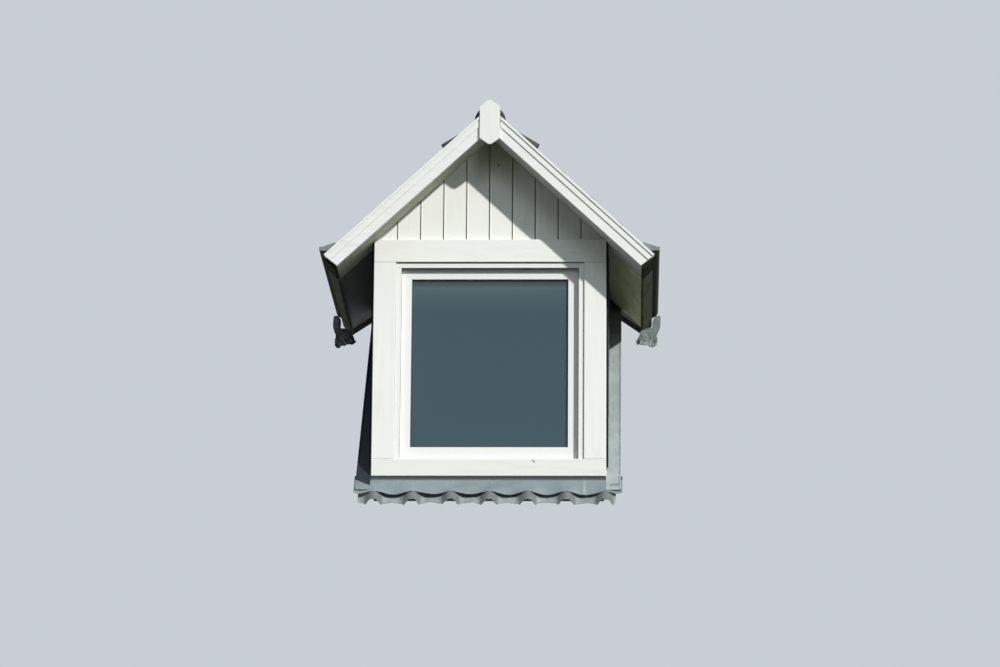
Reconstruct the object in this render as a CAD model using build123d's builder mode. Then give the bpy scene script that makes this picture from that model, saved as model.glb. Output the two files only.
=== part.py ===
"""Gabled dormer window with a fixed light, from its seat on the main roof to its ridge.

Millimetres. X runs to the right seen from the street, Y runs back towards the main ridge and
Z is up. The origin lies on the seat: the sloping plane of the main roof's rafters that the
dormer stands on. The dormer is symmetrical about X = 0.

Two sloping frames are used. "Level" is the height square to the main roof above the seat, and
"run" is the distance up that slope. On the dormer's own roof "fall" is the distance down the
slope from its apex line, and "rise" is the height square to that slope above the soffit.
"""
import os
from math import asin, ceil, cos, pi, radians, sin, tan

from build123d import *

os.makedirs("parts", exist_ok=True)

# Roof slopes
main_pitch = 45.0
dormer_pitch = 43.0

# Place of the casing's front face, and the main roof's tiles
face_y = -100.0
tile_level = 110.0
face_to_tiles = 10.6
tile_pitch = 168.0
main_roll_offset = 7.0
tile_roll_width = 88.0
roll_facets = 8
main_wave = 33.0

# Casing round the window
casing_width = 1030.0
casing_height = 1073.0
casing_side = 98.0
casing_head_depth = 104.0
casing_sill_depth = 77.0
casing_thickness = 36.0
board_edge = 2.0

# Walls
casing_side_lap = 10.0
front_wall_thickness = 100.0
cheek_thickness = 80.0
sole_thickness = 45.0

# Window frame, sash and glass
frame_gap = 1.2
frame_set_back = 9.0
frame_strip = 22.8
frame_sill_strip = 2.0
frame_cover = 20.0
frame_depth = 96.0
frame_clearance = 4.0
frame_stop = 16.0
frame_stop_depth = 17.0
sash_set_back = 34.0
sash_gap = 1.5
sash_side = 44.5
sash_bottom = 56.0
glass_set_back = 12.0
glass_thickness = 20.0
glass_cover = 10.0
lining_thickness = 26.0

# Gable boards
board_pitch = 102.0
board_thickness = 16.0
board_slot = 1.8
board_groove_width = 6.0
board_groove_depth = 6.0
board_shift = -5.5

# Build-up of the dormer's roof, square to its slope
head_corner_trim = 5.5
soffit_thickness = 9.0
deck_thickness = 15.0
eave_overhang = 160.8
fascia_thickness = 15.0
fascia_drip = 9.0

# Overhangs, measured back from the casing's front face
barge_back = -135.0
verge_seam = 110.0
soffit_end = 990.0
seam_gap = 1.0

# Bargeboards with their two strips, and the finial
barge_thickness = 22.0
barge_drip = 9.3
barge_rise = 56.0
barge_overrun = 8.0
barge_cut = 10.0
strip_depth = 25.0
strip_thickness = 4.5
cap_depth = 10.0
cap_step = 4.5
finial_thickness = 12.0
finial_width = 90.0
finial_stand = 36.0
finial_point = 37.0
finial_length = 144.0
finial_foot = 32.0
finial_round = 20.0
finial_gap = 4.0

# Carcass inside
rafter_width = 45.0
rafter_depth = 70.0
rafter_spacing = 390.0
first_rafter = 90.0
rafter_pairs = 4
ridge_beam_width = 45.0
ridge_beam_depth = 120.0
valley_board_thickness = 25.0
valley_board_width = 220.0
valley_board_trim = 12.0

# Roof tiles of the dormer
tile_gauge = 175.0
tile_lap = 45.0
tile_thickness = 12.0
tile_bed = 2.5
seat_gap = 0.3
tile_wave = 32.0
tile_hold_back = 19.0
first_roll = 50.0
verge_clearance = 4.0
valley_cut_level = 78.0
ridge_radius = 69.0
ridge_wall = 12.0
ridge_lift = 34.0
ridge_skirt = 33.0
ridge_tile_length = 330.0
ridge_collar = 45.0
ridge_collar_step = 7.0

# Zinc and lead
sheet = 2.0
gutter_radius = 44.0
gutter_inset = 32.8
gutter_bead = 5.0
gutter_leg = 38.0
valley_wing = 130.0
flashing_width = 75.0
flashing_upstand = 90.0
flashing_front_run = 110.0
flashing_rim = 6.0
flashing_rim_height = 5.0
cladding_lift = 12.0
cladding_out = 20.0
seam_rib_width = 6.0
seam_rib_height = 5.0
seam_spacing = 300.0
apron_side = 81.0
apron_run = 118.0
apron_lip = 16.0
apron_lip_width = 124.0
apron_lip_turn = 38.0
lead_side = 75.0
lead_thickness = 3.0
lead_run = 187.0
lead_top_run = 70.0
lead_scallop = 35.0
lead_scallop_width = 96.0
gutter_lead_inside = 62.0
gutter_lead_outside = 56.0
gutter_lead_foot = 289.0
gutter_lead_head = 24.0
gutter_lead_gap = 8.0

# Directions of the slopes
main_sin = sin(radians(main_pitch))
main_cos = cos(radians(main_pitch))
roof_sin = sin(radians(dormer_pitch))
roof_cos = cos(radians(dormer_pitch))
roof_tan = tan(radians(dormer_pitch))


def height_at(y, level):
    """Z of the point with this Y on the plane at this level above the seat."""
    return (level + y * main_sin) / main_cos


def depth_at(z, level):
    """Y of the point with this Z on the plane at this level above the seat."""
    return (z * main_cos - level) / main_sin


def run_at(y, z):
    """Distance up the main slope of a point in the vertical plane X = 0."""
    return y * main_cos + z * main_sin


def main_plane(level):
    """Plane parallel to the seat, X to the right and local Y up the main slope."""
    return Plane(
        origin=(0, -level * main_sin, level * main_cos),
        x_dir=(1, 0, 0),
        z_dir=(0, -main_sin, main_cos),
    )


# Places worked out from the sizes above
casing_foot = height_at(face_y + face_to_tiles, tile_level)
casing_foot_run = run_at(face_y + face_to_tiles, casing_foot)
casing_half = casing_width / 2
apex_z = casing_foot + casing_height + casing_half * roof_tan - head_corner_trim
eave_fall = (casing_half + eave_overhang) / roof_cos
wall_half_width = casing_half - casing_side_lap
apron_half_width = wall_half_width + apron_side
lead_half_width = wall_half_width + lead_side
barge_fall = eave_fall + barge_overrun
eave_tile_fall = eave_fall - tile_hold_back
gutter_fall = eave_fall - gutter_inset
casing_back_y = face_y + casing_thickness
wall_back_y = casing_back_y + front_wall_thickness
cheek_inside = wall_half_width - cheek_thickness
opening_half = casing_half - casing_side
opening_bottom = casing_foot + casing_sill_depth
opening_top = casing_foot + casing_height - casing_head_depth
deck_under = soffit_thickness
deck_top = soffit_thickness + deck_thickness
barge_back_y = face_y + barge_back
barge_face_y = barge_back_y - barge_thickness
cap_face_y = barge_face_y - strip_thickness - cap_step
far_y = 2200.0


def facade(y):
    """Plane square to Y, seen from the front: local X is X and local Y is Z."""
    return Plane(origin=(0, y, 0), x_dir=(1, 0, 0), z_dir=(0, -1, 0))


def section_plane(y):
    """Plane square to Y: local X is the fall down the right slope, local Y the rise."""
    return Plane(origin=(0, y, apex_z), x_dir=(roof_cos, 0, -roof_sin), z_dir=(0, -1, 0))


def roof_plane(rise):
    """Plane parallel to the right slope: local X is the fall, local Y is Y itself."""
    return Plane(
        origin=(rise * roof_sin, 0, apex_z + rise * roof_cos),
        x_dir=(roof_cos, 0, -roof_sin),
        z_dir=(roof_sin, 0, roof_cos),
    )


def slope_height(x, rise):
    """Z of the dormer's slope at this X and this rise above the soffit."""
    return apex_z + rise / roof_cos - abs(x) * roof_tan


def valley_point(fall, rise, level):
    """X, Y and Z where a line down the dormer's slope meets a level of the main roof."""
    x = fall * roof_cos + rise * roof_sin
    z = apex_z - fall * roof_sin + rise * roof_cos
    return x, depth_at(z, level), z


def mirrored(right):
    """The left-hand piece that matches a right-hand one."""
    with BuildPart() as left:
        mirror(right.part, about=Plane.YZ)
    return left


def save(piece, name):
    piece.part.label = name
    export_step(piece.part, f"parts/{name}.step")


def save_pair(right, name):
    save(right, f"{name}_right")
    save(mirrored(right), f"{name}_left")


# Soles on the rafters of the main roof
front_foot_run = run_at(casing_back_y, height_at(casing_back_y, sole_thickness))
back_foot_run = run_at(wall_back_y, height_at(wall_back_y, sole_thickness))

with BuildPart() as front_sole:
    with BuildSketch(main_plane(0)):
        with Locations((0, (front_foot_run + back_foot_run) / 2)):
            Rectangle(2 * wall_half_width, back_foot_run - front_foot_run)
    extrude(amount=sole_thickness)
save(front_sole, "front_sole")

# Valley board: a strip on the seat either side of the line where the deck comes down, cut back
# outside the cheeks so that it stays behind the soffit
ridge_meet = valley_point(-deck_under * roof_tan, deck_under, valley_board_thickness)
eave_meet = valley_point(eave_fall, deck_under, valley_board_thickness)
ridge_meet_run = run_at(ridge_meet[1], ridge_meet[2])
eave_meet_run = run_at(eave_meet[1], eave_meet[2])
valley_slant = asin(eave_meet[0] / ((ridge_meet_run - eave_meet_run) ** 2 + eave_meet[0] ** 2) ** 0.5)
board_reach = valley_board_width / 2 / sin(valley_slant)
valley_fall_share = (ridge_meet_run - eave_meet_run) / eave_meet[0]
cheek_meet_run = ridge_meet_run - valley_fall_share * wall_half_width

with BuildSketch(main_plane(0)) as valley_board_plan:
    with BuildLine():
        Polyline(
            (0, ridge_meet_run + board_reach),
            (eave_meet[0], eave_meet_run + board_reach),
            (eave_meet[0], eave_meet_run - valley_board_trim),
            (wall_half_width, cheek_meet_run - valley_board_trim),
            (wall_half_width, cheek_meet_run - board_reach),
            (0, ridge_meet_run - board_reach),
            close=True,
        )
    make_face()

with BuildPart() as valley_board:
    add(valley_board_plan.sketch)
    extrude(amount=valley_board_thickness)
save_pair(valley_board, "valley_board")

with BuildPart() as side_sole:
    with BuildSketch(main_plane(0)):
        with BuildLine():
            Polyline(
                (cheek_inside, back_foot_run),
                (wall_half_width, back_foot_run),
                (wall_half_width, ridge_meet_run),
                (cheek_inside, ridge_meet_run),
                close=True,
            )
        make_face()
    extrude(amount=sole_thickness)
    with BuildSketch(main_plane(0)):
        with BuildLine():
            Polyline(
                (0, ridge_meet_run - board_reach),
                (eave_meet[0], eave_meet_run - board_reach),
                (eave_meet[0], ridge_meet_run),
                (0, ridge_meet_run),
                close=True,
            )
        make_face()
    extrude(amount=sole_thickness, mode=Mode.SUBTRACT)
save_pair(side_sole, "side_sole")

# Front wall behind the casing, with the window cut through it
hole_half = opening_half + frame_cover + frame_clearance
hole_bottom = opening_bottom - frame_cover - frame_clearance
hole_top = opening_top + frame_cover + frame_clearance
wall_low = casing_foot - casing_height

with BuildPart() as front_wall:
    with BuildSketch(facade(wall_back_y)):
        with BuildLine():
            Polyline(
                (-wall_half_width, wall_low),
                (wall_half_width, wall_low),
                (wall_half_width, slope_height(wall_half_width, deck_under)),
                (0, slope_height(0, deck_under)),
                (-wall_half_width, slope_height(wall_half_width, deck_under)),
                close=True,
            )
        make_face()
        with Locations((0, (hole_bottom + hole_top) / 2)):
            Rectangle(2 * hole_half, hole_top - hole_bottom, mode=Mode.SUBTRACT)
    extrude(amount=front_wall_thickness)
    split(bisect_by=main_plane(sole_thickness), keep=Keep.TOP)
save(front_wall, "front_wall")

# Cheek walls, triangular between the side soles and the deck
with BuildPart() as cheek_wall:
    with BuildSketch(facade(wall_back_y)):
        with BuildLine():
            Polyline(
                (cheek_inside, 0),
                (wall_half_width, 0),
                (wall_half_width, slope_height(wall_half_width, deck_under)),
                (cheek_inside, slope_height(cheek_inside, deck_under)),
                close=True,
            )
        make_face()
    extrude(amount=wall_back_y - far_y)
    split(bisect_by=main_plane(sole_thickness), keep=Keep.TOP)
save_pair(cheek_wall, "cheek_wall")

# Ridge beam and rafters, cut to sit on the valley boards
beam_half = ridge_beam_width / 2

with BuildPart() as ridge_beam:
    with BuildSketch(facade(wall_back_y)):
        with BuildLine():
            Polyline(
                (-beam_half, apex_z - ridge_beam_depth),
                (beam_half, apex_z - ridge_beam_depth),
                (beam_half, slope_height(beam_half, deck_under)),
                (0, slope_height(0, deck_under)),
                (-beam_half, slope_height(beam_half, deck_under)),
                close=True,
            )
        make_face()
    extrude(amount=wall_back_y - far_y)
    split(bisect_by=main_plane(valley_board_thickness), keep=Keep.TOP)
save(ridge_beam, "ridge_beam")

with BuildPart() as rafters:
    for number in range(rafter_pairs):
        with BuildSketch(section_plane(wall_back_y + first_rafter + number * rafter_spacing)):
            with BuildLine():
                Polyline(
                    (0, deck_under - rafter_depth),
                    (eave_fall, deck_under - rafter_depth),
                    (eave_fall, deck_under),
                    (0, deck_under),
                    close=True,
                )
            make_face()
        extrude(amount=-rafter_width)
    split(bisect_by=Plane.YZ.offset(beam_half), keep=Keep.TOP)
    split(bisect_by=Plane.YZ.offset(cheek_inside), keep=Keep.BOTTOM)
    split(bisect_by=main_plane(valley_board_thickness), keep=Keep.TOP)
save_pair(rafters, "rafters")

# Boarded deck with the batten that lifts the lowest course and carries the gutter's leg
tile_lean = asin((tile_thickness + seat_gap) / tile_gauge)
tile_climb = (tile_gauge + tile_lap) * sin(tile_lean)
tile_foot_rise = deck_top + tile_bed + tile_climb
batten_fall = gutter_fall - gutter_leg
leg_rise = tile_foot_rise - (eave_tile_fall - batten_fall) * tan(tile_lean) - sheet
gutter_centre_rise = leg_rise + gutter_radius
gutter_x = gutter_fall * roof_cos + gutter_centre_rise * roof_sin
gutter_z = apex_z - gutter_fall * roof_sin + gutter_centre_rise * roof_cos
fascia_rise = gutter_centre_rise - (gutter_radius**2 - (eave_fall - gutter_fall) ** 2) ** 0.5

with BuildPart() as roof_deck:
    with BuildSketch(section_plane(barge_back_y)):
        with BuildLine():
            Polyline(
                (-deck_under * roof_tan, deck_under),
                (eave_fall, deck_under),
                (eave_fall, deck_top),
                (gutter_fall, deck_top),
                (gutter_fall, leg_rise),
                (batten_fall, leg_rise),
                (batten_fall, deck_top),
                (-deck_top * roof_tan, deck_top),
                close=True,
            )
        make_face()
    extrude(amount=barge_back_y - far_y)
    split(bisect_by=main_plane(valley_board_thickness), keep=Keep.TOP)
save_pair(roof_deck, "roof_deck")

# Tongued gable boards with a groove at each joint
gable_face_y = casing_back_y - board_thickness
board_count = int(2 * wall_half_width / board_pitch) + 1

with BuildPart() as gable_boards:
    with BuildSketch(facade(casing_back_y)):
        with BuildLine():
            Polyline(
                (-wall_half_width, casing_foot + casing_height),
                (wall_half_width, casing_foot + casing_height),
                (wall_half_width, slope_height(wall_half_width, deck_under)),
                (0, slope_height(0, deck_under)),
                (-wall_half_width, slope_height(wall_half_width, deck_under)),
                close=True,
            )
        make_face()
    extrude(amount=board_thickness)
    with BuildSketch(Plane.XY.offset(casing_foot + casing_height)):
        with Locations((board_shift, 0)):
            with GridLocations(board_pitch, 0, 2 * (board_count // 2) - 1, 1):
                with Locations((0, gable_face_y + board_thickness / 2)):
                    Rectangle(board_slot, board_thickness)
                with Locations((0, gable_face_y)):
                    Polygon(
                        (-board_groove_width / 2, 0),
                        (0, board_groove_depth),
                        (board_groove_width / 2, 0),
                        align=None,
                    )
    extrude(amount=apex_z, mode=Mode.SUBTRACT)
save(gable_boards, "gable_boards")


# Casing boards
def casing_board(left, right, bottom, top):
    """A planed board against the front wall, its edges eased."""
    with BuildPart() as board:
        with BuildSketch(facade(casing_back_y)):
            with Locations(((left + right) / 2, (bottom + top) / 2)):
                Rectangle(right - left, top - bottom)
        extrude(amount=casing_thickness)
        chamfer(board.faces().sort_by(Axis.Y)[0].edges(), board_edge)
    return board


casing_top = casing_foot + casing_height

with BuildPart() as casing_head:
    add(casing_board(-casing_half, casing_half, opening_top, casing_top).part)
    split(bisect_by=roof_plane(0), keep=Keep.BOTTOM)
    mirror(about=Plane.YZ, mode=Mode.REPLACE)
    split(bisect_by=roof_plane(0), keep=Keep.BOTTOM)
save(casing_head, "casing_head")
save(casing_board(-casing_half, casing_half, casing_foot, opening_bottom), "casing_sill")
save_pair(casing_board(opening_half, casing_half, opening_bottom, opening_top), "casing")

# Window frame: a strip that shows inside the casing, an outer part behind it and a stop
frame_face_y = face_y + frame_set_back
frame_back_y = frame_face_y + frame_depth
strip_half = opening_half - frame_gap
strip_top = opening_top - frame_gap
light_half = strip_half - frame_strip
light_top = strip_top - frame_strip
light_bottom = opening_bottom + frame_sill_strip


def ring(half, low, high, inner_half, inner_low, inner_high):
    """A rectangular ring, for a sketch square to Y."""
    with BuildSketch() as face:
        with Locations((0, (low + high) / 2)):
            Rectangle(2 * half, high - low)
        with Locations((0, (inner_low + inner_high) / 2)):
            Rectangle(2 * inner_half, inner_high - inner_low, mode=Mode.SUBTRACT)
    return face.sketch


with BuildPart() as window_frame:
    with BuildSketch(facade(frame_face_y)):
        add(ring(strip_half, opening_bottom, strip_top, light_half, light_bottom, light_top))
    extrude(amount=frame_face_y - frame_back_y)
    with BuildSketch(facade(casing_back_y)):
        add(ring(
            opening_half + frame_cover, opening_bottom - frame_cover, opening_top + frame_cover,
            light_half, light_bottom, light_top,
        ))
    extrude(amount=casing_back_y - frame_back_y)
    with BuildSketch(facade(frame_back_y)):
        add(ring(
            light_half, light_bottom, light_top,
            light_half - frame_stop, light_bottom + frame_stop, light_top - frame_stop,
        ))
    extrude(amount=frame_stop_depth)
save(window_frame, "window_frame")

# Fixed sash with the glass in its groove
sash_face_y = face_y + sash_set_back
sash_half = light_half - sash_gap
sash_low = light_bottom + sash_gap
sash_high = light_top - sash_gap
glass_half = sash_half - sash_side
glass_low = sash_low + sash_bottom
glass_high = sash_high - sash_side
glass_face_y = sash_face_y + glass_set_back
sash_back_y = frame_back_y - frame_stop_depth

with BuildPart() as window_sash:
    with BuildSketch(facade(sash_face_y)):
        add(ring(sash_half, sash_low, sash_high, glass_half, glass_low, glass_high))
    extrude(amount=sash_face_y - sash_back_y)
    with BuildSketch(facade(glass_face_y)):
        with Locations((0, (glass_low + glass_high) / 2)):
            Rectangle(2 * (glass_half + glass_cover), glass_high - glass_low + 2 * glass_cover)
    extrude(amount=-glass_thickness, mode=Mode.SUBTRACT)
save(window_sash, "window_sash")

with BuildPart() as glass_pane:
    with BuildSketch(facade(glass_face_y)):
        with Locations((0, (glass_low + glass_high) / 2)):
            Rectangle(2 * (glass_half + glass_cover), glass_high - glass_low + 2 * glass_cover)
    extrude(amount=-glass_thickness)
save(glass_pane, "glass_pane")

# Lining boards inside, from the frame to the wall's inner face
with BuildPart() as window_lining:
    with BuildSketch(facade(frame_back_y)):
        add(ring(
            hole_half, hole_bottom, hole_top,
            hole_half - lining_thickness, hole_bottom + lining_thickness,
            hole_top - lining_thickness,
        ))
    extrude(amount=frame_back_y - wall_back_y)
save(window_lining, "window_lining")

# Bargeboards with a stepped strip and cap along their upper edge
with BuildPart() as bargeboard:
    with BuildSketch(section_plane(barge_back_y)):
        with BuildLine():
            Polyline(
                (barge_drip * roof_tan, -barge_drip),
                (barge_fall - barge_cut, -barge_drip),
                (barge_fall, barge_rise),
                (-barge_rise * roof_tan, barge_rise),
                close=True,
            )
        make_face()
    extrude(amount=barge_thickness)
save_pair(bargeboard, "bargeboard")

strip_low = barge_rise - strip_depth
strip_fall = barge_fall - barge_cut * strip_depth / (barge_rise + barge_drip)
cap_top = barge_rise + cap_depth

with BuildPart() as barge_strip:
    with BuildSketch(section_plane(barge_face_y)):
        with BuildLine():
            Polyline(
                (-strip_low * roof_tan, strip_low),
                (strip_fall, strip_low),
                (barge_fall, barge_rise),
                (-barge_rise * roof_tan, barge_rise),
                close=True,
            )
        make_face()
    extrude(amount=strip_thickness)
    with BuildSketch(section_plane(barge_back_y)):
        with BuildLine():
            Polyline(
                (-barge_rise * roof_tan, barge_rise),
                (barge_fall, barge_rise),
                (barge_fall, cap_top),
                (-cap_top * roof_tan, cap_top),
                close=True,
            )
        make_face()
    extrude(amount=barge_back_y - cap_face_y)
    with BuildSketch(facade(barge_face_y)):
        with Locations((0, apex_z)):
            Rectangle(finial_width + 2 * finial_gap, 2 * finial_length)
    extrude(amount=barge_face_y - cap_face_y, mode=Mode.SUBTRACT)
save_pair(barge_strip, "barge_strip")

finial_tip = slope_height(0, cap_top) + finial_stand
finial_upper = finial_tip - finial_point
finial_lower = finial_upper - finial_length

with BuildPart() as finial:
    with BuildSketch(facade(barge_face_y)):
        with BuildLine():
            Polyline(
                (0, finial_tip),
                (finial_width / 2, finial_upper),
                (finial_width / 2, finial_lower),
                (0, finial_lower - finial_foot),
                (-finial_width / 2, finial_lower),
                (-finial_width / 2, finial_upper),
                close=True,
            )
        make_face()
    extrude(amount=finial_thickness)
    fillet(finial.edges().filter_by(Axis.Y).group_by(Axis.Z)[0], finial_round)
    fillet(finial.edges().filter_by(Axis.Y).group_by(Axis.Z)[-1], finial_round)
save(finial, "finial")

# Soffit: the verge panel in front and the panel along the eave, with a seam between them
cladding_face = wall_half_width + cladding_out
eave_panel_fall = cladding_face / roof_cos

with BuildPart() as soffit:
    with BuildSketch(roof_plane(0)):
        with BuildLine():
            Polyline(
                (0, barge_back_y),
                (eave_fall, barge_back_y),
                (eave_fall, face_y + verge_seam),
                (eave_panel_fall, face_y + verge_seam),
                (eave_panel_fall, gable_face_y),
                (0, gable_face_y),
                close=True,
            )
        make_face()
        with BuildLine():
            Polyline(
                (eave_panel_fall, face_y + verge_seam + seam_gap),
                (eave_fall, face_y + verge_seam + seam_gap),
                (eave_fall, face_y + soffit_end),
                (eave_panel_fall, face_y + soffit_end),
                close=True,
            )
        make_face()
    extrude(amount=soffit_thickness)
save_pair(soffit, "soffit")

with BuildPart() as fascia:
    with BuildSketch(section_plane(barge_back_y)):
        with BuildLine():
            Polyline(
                (eave_fall, -fascia_drip),
                (eave_fall + fascia_thickness, -fascia_drip),
                (eave_fall + fascia_thickness, fascia_rise - seat_gap),
                (eave_fall, fascia_rise - seat_gap),
                close=True,
            )
        make_face()
    extrude(amount=barge_back_y - far_y)
    split(bisect_by=main_plane(valley_board_thickness), keep=Keep.TOP)
save_pair(fascia, "fascia")

# Half-round gutter whose inner edge runs on as a leg under the tiles
gutter_front_y = barge_back_y + seat_gap
inner_radius = gutter_radius - sheet
gutter_centre = (gutter_fall, gutter_centre_rise)
rim_turn = 90 + dormer_pitch
bead_place = (
    gutter_fall + (gutter_radius - gutter_bead) * roof_cos,
    gutter_centre_rise + (gutter_radius - gutter_bead) * roof_sin,
)

with BuildPart() as gutter:
    with BuildSketch(section_plane(gutter_front_y)):
        with BuildLine():
            Line((batten_fall, leg_rise), (gutter_fall, leg_rise))
            outer = CenterArc(gutter_centre, gutter_radius, -90, rim_turn)
            inner = CenterArc(gutter_centre, inner_radius, -90, rim_turn)
            Line(outer @ 1, inner @ 1)
            Polyline(
                (gutter_fall, leg_rise + sheet),
                (batten_fall, leg_rise + sheet),
                (batten_fall, leg_rise),
            )
        make_face()
        with Locations(bead_place):
            Circle(gutter_bead)
    extrude(amount=gutter_front_y - far_y)
    with BuildSketch(section_plane(gutter_front_y)):
        with BuildLine():
            bottom = CenterArc(gutter_centre, gutter_radius, -90, rim_turn)
            Polyline(
                bottom @ 1,
                (batten_fall + sheet, gutter_centre_rise),
                (batten_fall, leg_rise),
                (gutter_fall, leg_rise),
            )
        make_face()
    extrude(amount=-sheet)
    split(bisect_by=main_plane(tile_level + sheet), keep=Keep.TOP)
save_pair(gutter, "gutter")


# Wave that the tiles and the dressed lead share
def wave(start, end, roll_centres, height, thickness):
    """Section of a wavy sheet: flat pans between rolls, with its underside at 0."""
    line = [(start, 0)]
    for centre in roll_centres:
        for facet in range(roll_facets + 1):
            turn = 2 * pi * facet / roll_facets
            across = centre + (facet / roll_facets - 0.5) * tile_roll_width
            line.append((across, height * (1 - cos(turn)) / 2))
    line.append((end, 0))
    top = [(across, up + thickness) for across, up in reversed(line)]
    with BuildSketch() as face:
        with BuildLine():
            Polyline(*line, *top, close=True)
        make_face()
    return face.sketch


def saddle(radius, below):
    """Half-round with straight skirts below its centre."""
    with BuildSketch() as face:
        with BuildLine():
            ThreePointArc((-radius, 0), (0, radius), (radius, 0))
            Polyline((radius, 0), (radius, -below), (-radius, -below), (-radius, 0))
        make_face()
    return face.sketch


# Courses of the dormer's roof: each rests on the one below and leans back to the deck
tile_start_y = barge_back_y + verge_clearance
tile_end_y = depth_at(apex_z + cap_top / roof_cos, 0)
roll_count = int((tile_end_y - tile_start_y - first_roll) / tile_pitch)
roll_places = [tile_start_y + first_roll + number * tile_pitch for number in range(roll_count)]
ridge_z = apex_z + ridge_lift


def course_plane(fall):
    """Plane across the foot of a course: local X is Y, local Y square to the tiles."""
    return Plane(
        origin=(
            fall * roof_cos + tile_foot_rise * roof_sin,
            0,
            apex_z - fall * roof_sin + tile_foot_rise * roof_cos,
        ),
        x_dir=(0, 1, 0),
        z_dir=(
            roof_cos * cos(tile_lean) + roof_sin * sin(tile_lean),
            0,
            roof_cos * sin(tile_lean) - roof_sin * cos(tile_lean),
        ),
    )


# Ridge tiles with a collar at the front end of each after the first
ridge_end_y = depth_at(ridge_z + ridge_radius, tile_level)
ridge_tile_count = ceil((ridge_end_y - tile_start_y) / ridge_tile_length)


def ridge_run(radius, below, spare):
    """The outer shape of the whole row of ridge tiles, larger all round by the spare."""
    with BuildPart() as row:
        for number in range(ridge_tile_count):
            front = tile_start_y + number * ridge_tile_length
            end_plane = Plane(origin=(0, front - spare, ridge_z), x_dir=(1, 0, 0), z_dir=(0, -1, 0))
            with BuildSketch(end_plane):
                add(saddle(radius + spare, below))
            extrude(amount=-ridge_tile_length - 2 * spare)
            if number > 0:
                with BuildSketch(end_plane):
                    add(saddle(radius + ridge_collar_step + spare, below))
                extrude(amount=-ridge_collar - 2 * spare)
    return row.part


with BuildPart() as ridge_tiles:
    add(ridge_run(ridge_radius, ridge_skirt, 0))
    with BuildSketch(Plane(origin=(0, tile_start_y, ridge_z), x_dir=(1, 0, 0), z_dir=(0, -1, 0))):
        add(saddle(ridge_radius - ridge_wall, ridge_skirt))
    extrude(amount=tile_start_y - far_y, mode=Mode.SUBTRACT)
    split(bisect_by=main_plane(tile_level), keep=Keep.TOP)
save(ridge_tiles, "ridge_tiles")

with BuildPart() as tiles:
    for course in range(ceil((eave_tile_fall - ridge_radius) / tile_gauge)):
        with BuildSketch(course_plane(eave_tile_fall - course * tile_gauge)):
            add(wave(tile_start_y, tile_end_y, roll_places, tile_wave, tile_thickness))
        extrude(amount=-tile_gauge - tile_lap)
    split(bisect_by=main_plane(valley_cut_level), keep=Keep.TOP)
    split(bisect_by=Plane.YZ.offset(ridge_radius - ridge_wall), keep=Keep.TOP)
    add(ridge_run(ridge_radius, ridge_radius, seat_gap), mode=Mode.SUBTRACT)
save_pair(tiles, "tiles")

# Valley flashing: one wing on the dormer's deck, the other on the valley board
wing_foot = valley_board_thickness + sheet

with BuildPart() as valley_flashing:
    with BuildSketch(roof_plane(deck_top)):
        with BuildLine():
            top_fall = -deck_top * roof_tan
            top_y = valley_point(top_fall, deck_top, wing_foot)[1]
            low_y = valley_point(batten_fall, deck_top, wing_foot)[1]
            Polyline(
                (top_fall, top_y),
                (batten_fall, low_y),
                (batten_fall, low_y - valley_wing),
                (top_fall, top_y - valley_wing),
                close=True,
            )
        make_face()
    extrude(amount=sheet)
    split(bisect_by=main_plane(wing_foot), keep=Keep.TOP)
    split(bisect_by=Plane.YZ, keep=Keep.TOP)
    with BuildSketch(main_plane(valley_board_thickness)):
        with BuildLine():
            top_point = valley_point(-deck_top * roof_tan, deck_top, valley_board_thickness)
            low_point = valley_point(batten_fall, deck_top, valley_board_thickness)
            top_run = run_at(top_point[1], top_point[2])
            low_run = run_at(low_point[1], low_point[2])
            Polyline(
                (0, top_run),
                (low_point[0], low_run),
                (low_point[0], low_run + valley_wing),
                (0, top_run + valley_wing),
                close=True,
            )
        make_face()
    extrude(amount=sheet)
save_pair(valley_flashing, "valley_flashing")


# Flashings on the main roof
def run_section(run):
    """Plane across the main slope: local X is X, local Y the level above the seat."""
    return Plane(
        origin=(0, run * main_cos, run * main_sin),
        x_dir=(1, 0, 0),
        z_dir=(0, -main_cos, -main_sin),
    )


apron_top = tile_level + sheet
flashing_edge = wall_half_width + flashing_width
flashing_foot_run = casing_foot_run - flashing_front_run

with BuildPart() as side_flashing:
    with BuildSketch(run_section(flashing_foot_run)):
        with BuildLine():
            Polyline(
                (wall_half_width, apron_top),
                (flashing_edge, apron_top),
                (flashing_edge, apron_top + flashing_rim_height),
                (flashing_edge - flashing_rim, apron_top + flashing_rim_height),
                (flashing_edge - flashing_rim, apron_top + sheet),
                (wall_half_width + sheet, apron_top + sheet),
                (wall_half_width + sheet, apron_top + flashing_upstand),
                (wall_half_width, apron_top + flashing_upstand),
                close=True,
            )
        make_face()
    extrude(amount=flashing_foot_run - ridge_meet_run)
    split(bisect_by=roof_plane(deck_under), keep=Keep.BOTTOM)
    with BuildSketch(Plane.XY.offset(-casing_height)):
        with Locations((0, casing_back_y - casing_height / 2)):
            Rectangle(casing_width, casing_height)
    extrude(amount=2 * casing_height, mode=Mode.SUBTRACT)
save_pair(side_flashing, "side_flashing")

# Cladding of the cheeks, with upright seams, hung clear of the flashing
cladding_flat = cladding_face - seam_rib_height
seam_count = int((depth_at(apex_z, 0) - casing_back_y) / seam_spacing)

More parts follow.
